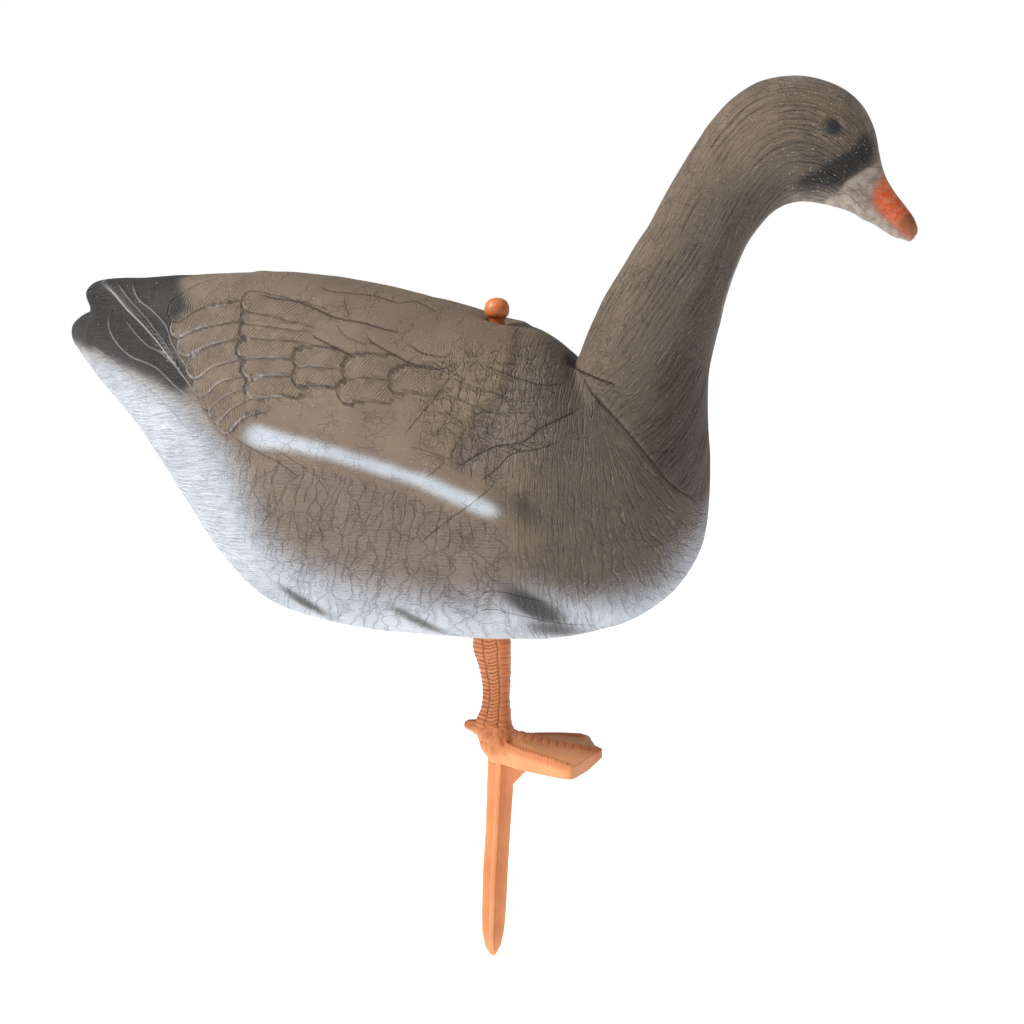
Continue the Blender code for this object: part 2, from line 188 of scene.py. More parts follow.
# Raised quills on the wing tip and tail: height, half width, paleness, then their points.
QUILLS = (
    (1.5, 1.3, 0.9, ((-296, 360), (-283, 353), (-270, 343), (-257, 334), (-245, 324), (-233, 312),
      (-224, 302),
                     (-215, 292), (-207, 281))),
    (0.8, 0.8, 0.35, ((-285, 361), (-270, 350), (-256, 340), (-243, 328), (-232, 316), (-224, 306))),
    (0.9, 0.8, 0.5, ((-272, 361), (-262, 350), (-248, 342), (-236, 332), (-229, 319), (-220, 308),
      (-212, 298))),
    (0.9, 0.9, 0.6, ((-284, 342), (-285, 332), (-278, 320), (-265, 310), (-244, 303), (-227, 290),
      (-211, 279))),
    (0.8, 0.9, 0.5, ((-273, 338), (-262, 327), (-250, 318), (-240, 314), (-224, 302), (-212, 287))),
    (0.8, 0.9, 0.5, ((-303, 318), (-291, 312), (-281, 306), (-268, 296), (-252, 287), (-236, 276),
      (-222, 262))),
)

# Outline of the folded wing, clockwise from its tip; it stands proud of the flank and the tail.
WING = (
    (-310, 366), (-296, 358), (-283, 351), (-257, 332), (-233, 310), (-215, 290), (-204, 274), (-188, 256),
    (-147, 244), (-116, 238), (-86, 231), (-56, 224), (-16, 211), (20, 200), (36, 206), (34, 222), (8, 232),
    (-12, 243), (-2, 268), (20, 300), (10, 345), (-60, 362), (-180, 385), (-310, 385),
)
WING_LIFT = 2.6
WING_EDGE = 5.0

STRIPE = ((-176, 259), (-147, 256), (-116, 251), (-86, 244), (-56, 236), (-34, 230), (-16, 223), (5, 215),
          (24, 207))
DARK_RUMP = ((-330, 335), (-329, 317), (-298, 314), (-284, 308), (-268, 301), (-253, 295), (-235, 291),
             (-222, 286), (-212, 292), (-226, 320), (-233, 334), (-219, 344), (-230, 362), (-246, 385),
             (-330, 385))
BELLY_EDGE = ((-330, 316), (-285, 306), (-240, 284), (-205, 262), (-193, 245), (-182, 225), (-165, 190),
              (-140, 165), (-95, 149), (-44, 141), (1, 139), (40, 147), (60, 143), (102, 140), (128, 150),
              (146, 170), (170, 200))
DARK_PATCHES = (
    (40.0, 137.0, 25.0, 14.0, -0.55, 1.0),
    (52.0, 116.0, 25.0, 11.0, -0.2, 0.8),
    (-135.0, 130.0, 22.0, 7.0, -0.65, 0.8),
    (-48.0, 120.0, 24.0, 7.0, -0.6, 0.75),
    (30.0, 215.0, 24.0, 12.0, -0.3, 0.45),
)

# Head features.
EYE = (242.5, 476.5)
EYE_RADIUS = 5.2
FACE_PATCH = ((269, 466), (262, 457), (250, 449), (238, 441), (227, 436))
BILL_ROOT = ((284, 464), (272, 451), (263, 446), (252, 438), (246, 431), (239, 426), (234, 417))
ORANGE_EDGE = ((286, 452), (277, 440), (272, 431), (274, 422), (283, 412), (296, 401), (304, 396))
BILL_TIP = (299.0, 408.0)
BILL_TIP_RADIUS = 13.0

# The fold where the neck leaves the shoulder, and the point that the breast's ribs fan out from.
NECK_FOLD = ((40, 330), (60, 306), (72, 299), (95, 277), (121, 248), (150, 215), (172, 196))
FAN_CENTRE = (82.0, 289.0)
FAN_RADIUS = 68.0


def srgb(red, green, blue):
    """A display colour of 0 to 255 as the linear colour a shader takes."""
    def linear(value):
        value /= 255.0
        return value / 12.92 if value <= 0.04045 else ((value + 0.055) / 1.055) ** 2.4
    return (linear(red), linear(green), linear(blue), 1.0)


def smoothstep(low, high, value):
    """0 below low, 1 above high and an even ramp between; low may be the larger one."""
    t = np.clip((value - low) / (high - low), 0.0, 1.0)
    return t * t * (3.0 - 2.0 * t)


def random_field(u, v, seed):
    """A smooth random field between -1 and 1 over the plane, one cell per unit."""
    cells = 128
    table = np.random.RandomState(seed).uniform(-1.0, 1.0, (cells, cells))
    i, j = np.floor(u).astype(int), np.floor(v).astype(int)
    fu, fv = u - i, v - j
    fu, fv = fu * fu * (3.0 - 2.0 * fu), fv * fv * (3.0 - 2.0 * fv)
    low = table[i % cells, j % cells] * (1.0 - fu) + table[(i + 1) % cells, j % cells] * fu
    high = table[i % cells, (j + 1) % cells] * (1.0 - fu) + table[(i + 1) % cells, (j + 1) % cells] * fu
    return low * (1.0 - fv) + high * fv


def smooth_between(rows, index, fraction):
    """A Catmull-Rom point between two rows of numbers."""
    last = len(rows) - 1
    p0, p1 = rows[max(index - 1, 0)], rows[index]
    p2, p3 = rows[min(index + 1, last)], rows[min(index + 2, last)]
    return 0.5 * (
        2.0 * p1
        + (p2 - p0) * fraction
        + (2.0 * p0 - 5.0 * p1 + 4.0 * p2 - p3) * fraction**2
        + (3.0 * p1 - p0 - 3.0 * p2 + p3) * fraction**3
    )


def smooth_line(points, step=2.0):
    """A smooth run of points through the given ones."""
    rows = np.array(points, float)
    run = []
    for index in range(len(rows) - 1):
        parts = max(1, math.ceil(np.linalg.norm(rows[index + 1] - rows[index]) / step / 2.0))
        run += [smooth_between(rows, index, part / parts) for part in range(parts)]
    return np.array(run + [rows[-1]])


def body_stations():
    """The ribs, with more between them where they stand far apart."""
    rows = np.array(RIBS)
    stations = []
    for index in range(len(rows) - 1):
        here, after = rows[index], rows[index + 1]
        length = max(np.hypot(*(after[:2] - here[:2])), np.hypot(*(after[2:4] - here[2:4])))
        parts = max(1, math.ceil(length / STATION_STEP))
        stations += [smooth_between(rows, index, part / parts) for part in range(parts)]
    return np.array(stations[1:])


def sections(stations, columns, inset):
    """Points of the half ribs from the top seam to the bottom seam, on the bird's right side."""
    top, bottom = stations[:, None, 0:2], stations[:, None, 2:4]
    width = stations[:, None, 4]
    chord = np.linalg.norm(bottom - top, axis=-1)
    trim = inset / chord
    t = np.linspace(0.0, 1.0, columns + 1)[None, :]
    angle = math.pi * ((1.0 - SEAM_CROWDING) * t + SEAM_CROWDING * t * t * (3.0 - 2.0 * t))
    along = trim + (1.0 - 2.0 * trim) * (1.0 - np.cos(angle)) / 2.0
    power = BODY_POWER + (HEAD_POWER - BODY_POWER) * smoothstep(330.0, 400.0, top[..., 1])
    bulge = np.maximum(np.sin(angle), 0.0) ** power
    flat = top + (bottom - top) * along[..., None]
    y = -SEAM_GAP / 2.0 - (width - inset) * bulge
    x, z = flat[..., 0], flat[..., 1]
    sunk = DIMPLE_DEPTH * np.exp(-(x**2 + y**2) / DIMPLE_RADIUS**2)
    sunk = sunk + SADDLE_DEPTH * np.exp(-(x**2 + (y / 2.0) ** 2) / SADDLE_RADIUS**2)
    z = np.where(z > DIMPLE_MIN_Z, z - sunk, z)
    overhang = WING_TIP_OVERHANG * smoothstep(342.0, 357.0, z) * smoothstep(-278.0, -302.0, x)
    return np.stack([x - overhang, y, z], axis=-1)


def grid_normals(points):
    """Outward unit normals of a grid of points."""
    along = np.gradient(points, axis=0)
    across = np.gradient(points, axis=1)
    normals = np.cross(along, across)
    length = np.linalg.norm(normals, axis=-1, keepdims=True)
    normals = normals / np.maximum(length, 1e-9)
    outward = normals[..., 1:2].sum() < 0.0
    return normals if outward else -normals


def arc_lengths(points, axis):
    """Running length along one direction of a grid."""
    steps = np.linalg.norm(np.diff(points, axis=axis), axis=-1)
    start = np.zeros_like(np.take(steps, [0], axis=axis))
    return np.concatenate([start, np.cumsum(steps, axis=axis)], axis=axis)


def line_distance(x, z, points):
    """Distance to a line of points, signed by side, and the nearest place along it from 0 to 1."""
    best = np.full(x.shape, 1e9)
    side = np.ones(x.shape)
    place = np.zeros(x.shape)
    run = 0.0
    total = np.linalg.norm(np.diff(points, axis=0), axis=1).sum()
    for start, end in zip(points, points[1:]):
        step = end - start
        length = np.linalg.norm(step)
        t = np.clip(((x - start[0]) * step[0] + (z - start[1]) * step[1]) / length**2, 0.0, 1.0)
        dx, dz = x - start[0] - step[0] * t, z - start[1] - step[1] * t
        distance = np.hypot(dx, dz)
        closer = distance < best
        best = np.where(closer, distance, best)
        side = np.where(closer, np.sign(step[0] * dz - step[1] * dx), side)
        place = np.where(closer, (run + t * length) / total, place)
        run += length
    return best * np.where(side == 0.0, 1.0, side), place


def outline_distance(x, z, outline):
    """Distance to a closed outline, negative inside it."""
    points = np.array(list(outline) + [outline[0]], float)
    distance = np.abs(line_distance(x, z, points)[0])
    inside = np.zeros(x.shape, bool)
    for (x0, z0), (x1, z1) in zip(points, points[1:]):
        crosses = (z0 > z) != (z1 > z)
        with np.errstate(divide="ignore", invalid="ignore"):
            at = x0 + (z - z0) / (z1 - z0) * (x1 - x0)
        inside ^= crosses & (x < at)
    return np.where(inside, -distance, distance)


def feather_fields(x, z):
    """Height, edge distances, rim paleness and barb direction of the layered wing feathers."""
    height = np.zeros(x.shape)
    edge = np.full(x.shape, -9.0)
    near = np.full(x.shape, 9.0)
    rim = np.zeros(x.shape)
    barb = 0.8 * x - 0.6 * z
    covered = np.zeros(x.shape)
    tone = np.zeros(x.shape)
    for tip_x, tip_z, mid_x, mid_z, root_x, root_z, half, pale in FEATHERS:
        spine = smooth_line(((tip_x + half, tip_z), (mid_x, mid_z), (root_x, root_z)))
        across, place = line_distance(x, z, spine)
        reach = half * (1.0 - 0.25 * smoothstep(0.75, 1.0, place))
        beyond = np.abs(across) - reach
        length = np.linalg.norm(np.diff(spine, axis=0), axis=1).sum()
        fade = smoothstep(0.97, 0.66, place)
        inside = beyond < 0.0
        lift = FEATHER_LIFT * fade * smoothstep(0.6, -0.8, beyond)
        crown = 0.7 * fade * np.clip(1.0 - (across / reach) ** 2, 0.0, 1.0)
        height = np.where(inside, lift + crown + 0.3 * height * (1.0 - fade), height)
        replace = inside | (beyond < near)
        edge = np.where(replace, beyond, edge)
        near = np.where(replace, np.abs(beyond), near)
        tone = np.where(replace, fade, tone)
        rim = np.where(replace, pale * smoothstep(0.8, 0.1, place) * fade, rim)
        barb = np.where(inside, 0.75 * place * length - 0.66 * across, barb)
        covered = np.where(inside, fade, covered)
    return height, edge, near, tone, rim, barb, covered


def line_fields(x, z, lines):
    """Signed and plain distance to the nearest of some lines, with its size, width and paint."""
    side = np.full(x.shape, 9.0)
    near = np.full(x.shape, 9.0)
    size, width, paint = np.zeros(x.shape), np.ones(x.shape), np.zeros(x.shape)
    for amount, half, tone, points in lines:
        signed, place = line_distance(x, z, smooth_line(points))
        closer = np.abs(signed) < near
        taper = smoothstep(0.0, 0.12, place) * smoothstep(1.0, 0.88, place)
        near = np.where(closer, np.abs(signed), near)
        side = np.where(closer, signed, side)
        size = np.where(closer, amount * taper, size)
        width = np.where(closer, half, width)
        paint = np.where(closer, tone * taper, paint)
    return side, near, size, width, paint


def opened(points):
    """Spreads the foam apart round the rod, so that the seam runs round a half-round hole."""
    flat = points[..., 0] + 1j * (points[..., 1] + SEAM_GAP / 2.0)
    flat = np.where(flat.imag > -1e-6, flat.real - 1e-6j, flat)
    root = np.sqrt(flat - 2.0 * HOLE_RADIUS) * np.sqrt(flat + 2.0 * HOLE_RADIUS)
    spread = (flat + root) / 2.0
    inward = np.abs(spread) < HOLE_RADIUS * 0.999
    spread = np.where(inward, (flat - root) / 2.0, spread)
    amount = smoothstep(HOLE_REACH[1], HOLE_REACH[0], np.abs(flat))
    moved = flat + (spread - flat) * amount
    result = points.copy()
    result[..., 0] = moved.real
    result[..., 1] = np.minimum(moved.imag, 0.0) - SEAM_GAP / 2.0
    return result


class Skin:
    """The outer skin of one foam half: its points, and the fields its paint is made from."""

    def __init__(self):
        stations = body_stations()
        self.stations = stations
        base = sections(stations, SKIN_COLUMNS, 0.0)
        self.base = base
        self.normals = grid_normals(base)
        self.x, self.z = base[..., 0], base[..., 2]
        self.from_top = arc_lengths(base, 1)
        self.from_bottom = self.from_top[:, -1:] - self.from_top
        middle = (base[:, :1] + base[:, -1:]) / 2.0
        self.along = arc_lengths(middle, 0) + np.zeros(self.x.shape)
        self.seam = np.minimum(self.from_top, self.from_bottom)
        self.fields = {}
        self.zones()
        self.paint()
        self.relief()

    def zones(self):
        """How much each kind of skin pattern shows, and the directions that it runs in."""
        x, z = self.x, self.z
        above_fold = line_distance(x, z, np.array(NECK_FOLD, float))[0]
        self.neck = smoothstep(-1.5, 1.5, above_fold) * smoothstep(40.0, 60.0, x)
        dx, dz = x - FAN_CENTRE[0], z - FAN_CENTRE[1]
        angle = np.arctan2(np.maximum(dx, 0.0), np.maximum(-dz, 1.0))
        tilt = 0.3 * smoothstep(20.0, -100.0, x)
        q = np.where(dx > 0.0, angle * FAN_RADIUS, dx) - tilt * (z - 200.0)
        p = np.where(dx > 0.0, np.hypot(dx, dz), -dz)
        self.wing_edge = outline_distance(x, z, smooth_line(WING + WING[:1], 4.0))
        self.wing = smoothstep(2.0, -2.0, self.wing_edge)
        rump = smoothstep(-150.0, -200.0, x + 0.25 * (z - 200.0)) * (1.0 - self.wing)
        self.bill = self.bill_amount()
        shoulder = smoothstep(-60.0, -20.0, x) * smoothstep(235.0, 262.0, z) * (1.0 - self.neck)
        shoulder = shoulder * smoothstep(70.0, 40.0, x) * smoothstep(330.0, 310.0, z)
        breast = smoothstep(15.0, 35.0, x) * (1.0 - self.neck) * (1.0 - 0.8 * shoulder)
        flank = (1.0 - self.wing) * (1.0 - rump) * (1.0 - self.neck) * (1.0 - breast)
        zero = np.zeros(x.shape)
        self.fields.update(
            flow=np.stack([self.from_top, self.along, zero], axis=-1),
            fan=np.stack([q, p, zero], axis=-1),
            side=np.stack([x, z, zero], axis=-1),
            w_length=np.clip(self.neck + rump, 0.0, 1.0) * (1.0 - self.bill),
            w_rump=rump,
            w_breast=breast,
            w_flank=flank,
            w_shoulder=shoulder,
            w_head=smoothstep(195.0, 215.0, x) * smoothstep(400.0, 415.0, z),
        )

    def bill_amount(self):
        """1 on the bill and 0 on the head, with a short step between."""
        root = line_distance(self.x, self.z, smooth_line(BILL_ROOT))[0]
        return smoothstep(-1.0, 1.5, root) * smoothstep(225.0, 235.0, self.x)

    def paint(self):
        """Masks of the airbrushed colours, with painted highlights on the crown, above the bill and along the
        top of the bill.
        """
        x, z = self.x, self.z
        uneven = 3.0 * random_field(x / 26.0, z / 26.0, 3) + 1.0 * random_field(x / 8.0, z / 8.0, 4)
        stripe, place = line_distance(x, z, smooth_line(STRIPE))
        thick = 3.8 + 4.0 * smoothstep(0.3, 0.0, place)
        band = smoothstep(thick + 7.5, thick - 6.0, np.abs(stripe) + 0.4 * uneven)
        band = band * smoothstep(-0.02, 0.1, place) * smoothstep(1.02, 0.93, place)
        belly = line_distance(x, z, smooth_line(BELLY_EDGE))[0]
        white = np.clip(0.5 - (belly + uneven) / 52.0, 0.0, 1.0) * (1.0 - self.wing)
        white = np.maximum(white, 0.97 * band)
        dark_wing = outline_distance(x, z, DARK_RUMP)
        black = smoothstep(9.0, -9.0, dark_wing + uneven)
        for px, pz, long, wide, slope, amount in DARK_PATCHES:
            across = (z - pz - slope * (x - px)) / wide
            lengthways = (x - px) / long
            spot = np.exp(-((across**2 + lengthways**2) ** 1.3))
            black = np.maximum(black, amount * spot)
        face, _ = line_distance(x, z, smooth_line(FACE_PATCH))
        patch = smoothstep(13.5, 0.5, np.abs(face) + 0.7 * uneven) * smoothstep(2.0, 9.0, self.from_top)
        black = np.maximum(black, patch)
        black = black * (1.0 - self.bill)
        under = smoothstep(0.0, 1.5, -self.wing_edge - 1.0)
        edge_band = smoothstep(-3.4, -1.4, self.wing_edge) * smoothstep(0.6, -0.5, self.wing_edge)
        tip_pale = edge_band * smoothstep(-250.0, -275.0, x) * smoothstep(0.0, 1.0, under)
        throat = smoothstep(16.0, 3.0, self.from_bottom) * smoothstep(300.0, 350.0, z)
        cheek = smoothstep(0.0, 22.0, x - 205.0) * smoothstep(440.0, 424.0, z)
        pale = np.maximum(self.bill, np.maximum(0.75 * cheek, 0.7 * throat * (1.0 - black)))
        orange_line, _ = line_distance(x, z, smooth_line(ORANGE_EDGE))
        orange = smoothstep(-5.0, 5.5, orange_line + 0.3 * uneven) * self.bill
        tip = np.hypot(x - BILL_TIP[0], z - BILL_TIP[1])
        brown_tip = smoothstep(BILL_TIP_RADIUS, BILL_TIP_RADIUS * 0.5, tip + 0.3 * uneven) * orange
        eye = np.hypot(x - EYE[0], z - EYE[1])
        # Painted highlight along the top edge of the bill: the orange thins to the pale colour there.
        ridge = smoothstep(8.0, 2.5, self.from_top) * smoothstep(304.0, 284.0, x)
        orange = orange * (1.0 - 0.55 * ridge)
        # Painted highlight along the top edge above the bill, where light falls from above.
        forehead_highlight = smoothstep(7.0, 2.0, self.from_top) * smoothstep(250.0, 268.0, x)
        forehead_highlight = forehead_highlight * smoothstep(445.0, 452.0, z)
        # Painted highlight over the crown, where light falls from above.
        crown = smoothstep(36.0, 6.0, self.from_top) * smoothstep(185.0, 215.0, x)
        crown = crown * smoothstep(440.0, 470.0, z)
        pale = np.maximum(pale, np.maximum(0.7 * forehead_highlight, 0.6 * crown))
        self.fields.update(
            white=white,
            black=black,
            tip_pale=tip_pale,
            pale=pale * (1.0 - orange),
            orange=orange,
            brown_tip=brown_tip,
            eye=smoothstep(EYE_RADIUS + 0.8, EYE_RADIUS - 0.6, eye),
            dusk=self.dusk(),
        )

    def dusk(self):
        """Painted shade on the taupe coat: darker towards the front of the neck and low down it, a little
        over the whole neck, on the shoulder, along the front seam and round the cheek.
        """
        x, z = self.x, self.z
        neck = smoothstep(0.05, 0.75, self.from_top / np.maximum(self.from_top[:, -1:], 1.0)) * self.neck
        neck = neck * smoothstep(470.0, 420.0, z)
        shoulder = smoothstep(20.0, 60.0, x) * smoothstep(330.0, 280.0, z)
        front = smoothstep(24.0, 4.0, self.from_bottom) * smoothstep(190.0, 230.0, z)
        front = front * smoothstep(455.0, 425.0, z)
        cheek = np.exp(-(((x - 224.0) / 26.0) ** 2) - ((z - 456.0) / 20.0) ** 2)
        dusk = 0.75 * neck + 0.15 * self.neck + 0.75 * shoulder * (1.0 - self.neck) + 0.4 * cheek
        return np.clip(np.maximum(dusk, 0.95 * front), 0.0, 1.0)

    def relief(self):
        """Moves the skin in and out along its normals, and notes the marks that the paint follows."""
        x, z = self.x, self.z
        height, edge, near, edge_tone, rim, barb, covered = feather_fields(x, z)
        quill_side, quill_near, quill_size, quill_width, quill_paint = line_fields(x, z, QUILLS)
        side, crease_near, depth, width, tone = line_fields(x, z, CREASES)
        calm = smoothstep(0.0, 6.0, self.seam)
        raised = height * self.wing
        in_wing = smoothstep(WING_EDGE, -WING_EDGE, self.wing_edge)
        raised += WING_LIFT * in_wing * smoothstep(6.0, 30.0, self.from_top)
        raised += quill_size * np.exp(-((quill_near / (quill_width * 1.3)) ** 2))
        swell = np.exp(-((crease_near / (width * 4.0)) ** 2))
        groove = np.exp(-((crease_near / (width * 1.5)) ** 2)) - 0.45 * swell
        raised -= depth * groove
        raised += self.furrows()
        raised += self.face()
        raised += 0.35 * random_field(x / 14.0, z / 14.0, 11) * (1.0 - self.bill)
        rounding = np.clip(1.0 - self.seam / SEAM_ROUNDING, 0.0, 1.0)
        sunk = SEAM_ROUNDING * 0.6 * (1.0 - np.sqrt(np.clip(1.0 - rounding**2, 0.0, 1.0)))
        ends = smoothstep(0.0, SOLID_END_WIDTH, self.stations[:, 4])[:, None]
        offset = (raised * calm - sunk) * ends
        points = self.base + self.normals * offset[..., None]
        points[..., 1] = np.minimum(points[..., 1], -SEAM_GAP / 2.0)
        points[:, (0, -1), 1] = -SEAM_GAP / 2.0
        self.points = opened(points)
        self.fields.update(
            edge=edge,
            edge_near=near,
            edge_tone=edge_tone * self.wing,
            rim=rim * self.wing,
            barb=barb,
            feathered=covered * self.wing,
            crease=side,
            crease_near=crease_near,
            crease_tone=tone * calm,
            crease_depth=depth * calm,
            quill=quill_side,
            quill_near=quill_near,
            quill_tone=quill_paint,
            seam=self.seam,
        )

    def furrows(self):
        """Long wavy furrows that run up the neck and round the cheek."""
        q, p = self.from_top, self.along
        warp = 0.55 * random_field(q / 13.0, p / 34.0, 21) + 0.3 * random_field(q / 6.0, p / 15.0, 22)
        phase = q / 4.6 + warp
        sharp = (0.5 + 0.5 * np.cos(2.0 * math.pi * phase)) ** 5
        patchy = smoothstep(-0.35, 0.45, random_field(q / 9.0, p / 24.0, 23))
        strength = sharp * patchy * self.neck * (1.0 - self.bill)
        crown = smoothstep(4.0, 22.0, q)
        eye = smoothstep(6.0, 14.0, np.hypot(self.x - EYE[0], self.z - EYE[1]))
        strength = strength * crown * eye * smoothstep(262.0, 244.0, self.x)
        self.fields["furrow"] = strength
        return -0.55 * strength

    def face(self):
        """Eye, cheek, brow, and the step where the bill leaves the feathers."""
        x, z = self.x, self.z
        eye = np.hypot(x - EYE[0], z - EYE[1])
        dome = 1.5 * np.sqrt(np.clip(1.0 - (eye / EYE_RADIUS) ** 2, 0.0, 1.0))
        ring = -1.1 * np.exp(-(((eye - EYE_RADIUS - 0.9) / 1.1) ** 2))
        brow = 0.9 * np.exp(-(((eye - EYE_RADIUS - 4.2) / 2.6) ** 2)) * smoothstep(-2.0, 4.0, z - EYE[1])
        cheek = 1.8 * np.exp(-(((x - 228.0) / 17.0) ** 2) - ((z - 450.0) / 14.0) ** 2)
        step = -0.8 * self.bill
        nostril = -0.9 * np.exp(-((((x - 279.0) * 0.6 - (z - 434.0) * 0.8) / 1.6) ** 2)
                                - (((x - 279.0) * 0.8 + (z - 434.0) * 0.6) / 3.6) ** 2)
        return dome + ring + brow + cheek + step + nostril


# ---------------------------------------------------------------- meshes of the foam halves


def quad_grid(numbers):
    """Faces between neighbouring points of a grid of vertex numbers."""
    a, b = numbers[:-1, :-1].ravel(), numbers[:-1, 1:].ravel()
    c, d = numbers[1:, 1:].ravel(), numbers[1:, :-1].ravel()
    return np.stack([a, b, c, d], axis=1).tolist()


def tip_fan(tip, row):
    """Triangles from one vertex to a row of vertices."""
    return [(tip, int(first), int(second)) for first, second in zip(row, row[1:])]


def hollow_rows(stations):
    """First and last station between which the half is hollow."""
    chord = np.hypot(stations[:, 2] - stations[:, 0], stations[:, 3] - stations[:, 1])
    wide = np.nonzero((stations[:, 4] > HOLLOW_MIN_WIDTH) & (chord > HOLLOW_MIN_CHORD))[0]
    return wide[0], wide[-1]


def seam_plane_faces(outer, inner, tips, ends, first, last):
    """Flat faces on the centre plane: a wall's thickness where it is hollow, and solid elsewhere."""
    faces = []
    for index in range(len(outer) - 1):
        if first < index < last - 1:
            row = index - first - 1
            for side in (0, -1):
                outside = (outer[index, side], outer[index + 1, side])
                faces.append((*outside, inner[row + 1, side], inner[row, side]))
        elif index not in (first, last - 1):
            faces.append((outer[index, 0], outer[index + 1, 0], outer[index + 1, -1], outer[index, -1]))
    for index, row, end in ((first, 0, ends[0]), (last - 1, -1, ends[1])):
        near, far = (index, index + 1) if row == 0 else (index + 1, index)
        for side in (0, -1):
            faces.append((outer[near, side], outer[far, side], inner[row, side], end))
        faces.append((outer[near, 0], end, outer[near, -1]))
    for tip, row in ((tips[0], 0), (tips[1], -1)):
        faces.append((tip, outer[row, 0], outer[row, -1]))
    return [tuple(int(corner) for corner in face) for face in faces]


def shell_parts(skin):
    """Vertices, in metres, and faces of one closed foam half on the bird's right side."""
    rows, columns = skin.points.shape[:2]
    outer = np.arange(rows * columns).reshape(rows, columns)
    first, last = hollow_rows(skin.stations)
    inside = opened(sections(skin.stations[first + 1 : last], INNER_COLUMNS, WALL))
    start = outer.size + 2
    inner = start + np.arange(inside.shape[0] * inside.shape[1]).reshape(inside.shape[:2])
    ribs = np.array(RIBS)
    middles = (ribs[0], ribs[-1], skin.stations[first], skin.stations[last])
    points = [((rib[0] + rib[2]) / 2.0, -SEAM_GAP / 2.0, (rib[1] + rib[3]) / 2.0) for rib in middles]
    vertices = np.concatenate([skin.points.reshape(-1, 3), points[:2], inside.reshape(-1, 3), points[2:]])
    tips = (outer.size, outer.size + 1)
    ends = (len(vertices) - 2, len(vertices) - 1)
    faces = quad_grid(outer) + quad_grid(inner)
    faces += tip_fan(tips[0], outer[0]) + tip_fan(tips[1], outer[-1])
    faces += tip_fan(ends[0], inner[0]) + tip_fan(ends[1], inner[-1])
    faces += seam_plane_faces(outer, inner, tips, ends, first, last)
    return vertices * MM, faces


def mesh_from(name, vertices, faces, sharp_degrees):
    """A smooth-shaded object whose faces point outwards."""
    mesh = bpy.data.meshes.new(name)
    mesh.from_pydata(vertices.tolist() if hasattr(vertices, "tolist") else vertices, [], faces)
    bm = bmesh.new()
    bm.from_mesh(mesh)
    bmesh.ops.recalc_face_normals(bm, faces=bm.faces)
    bm.to_mesh(mesh)
    bm.free()
    mesh.shade_smooth()
    mesh.set_sharp_from_angle(angle=math.radians(sharp_degrees))
    thing = bpy.data.objects.new(name, mesh)
    bpy.context.scene.collection.objects.link(thing)
    return thing


def store_field(mesh, name, values):
    """Stores numbers or vectors on a mesh's vertices; vertices beyond the given ones get zero."""
    values = np.asarray(values, np.float32)
    vector = values.ndim == 3
    width = 3 if vector else 1
    flat = values.reshape(-1, width)
    full = np.zeros((len(mesh.vertices), width), np.float32)
    full[: len(flat)] = flat
    attribute = mesh.attributes.new(name, "FLOAT_VECTOR" if vector else "FLOAT", "POINT")
    attribute.data.foreach_set("vector" if vector else "value", full.ravel())


def foam_halves(material):
    """Both detailed foam halves, each standing for its plain CAD shell."""
    skin = Skin()
    vertices, faces = shell_parts(skin)
    sides = (("right_foam_half", "right_shell", 1.0), ("left_foam_half", "left_shell", -1.0))
    for name, node, mirror in sides:
        half = mesh_from(name, vertices * (1.0, mirror, 1.0), faces, 55.0)
        for field, values in skin.fields.items():
            store_field(half.data, field, values)
        half.data.materials.append(material)
        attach(half, "bird")
        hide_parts(node)


# ---------------------------------------------------------------- materials


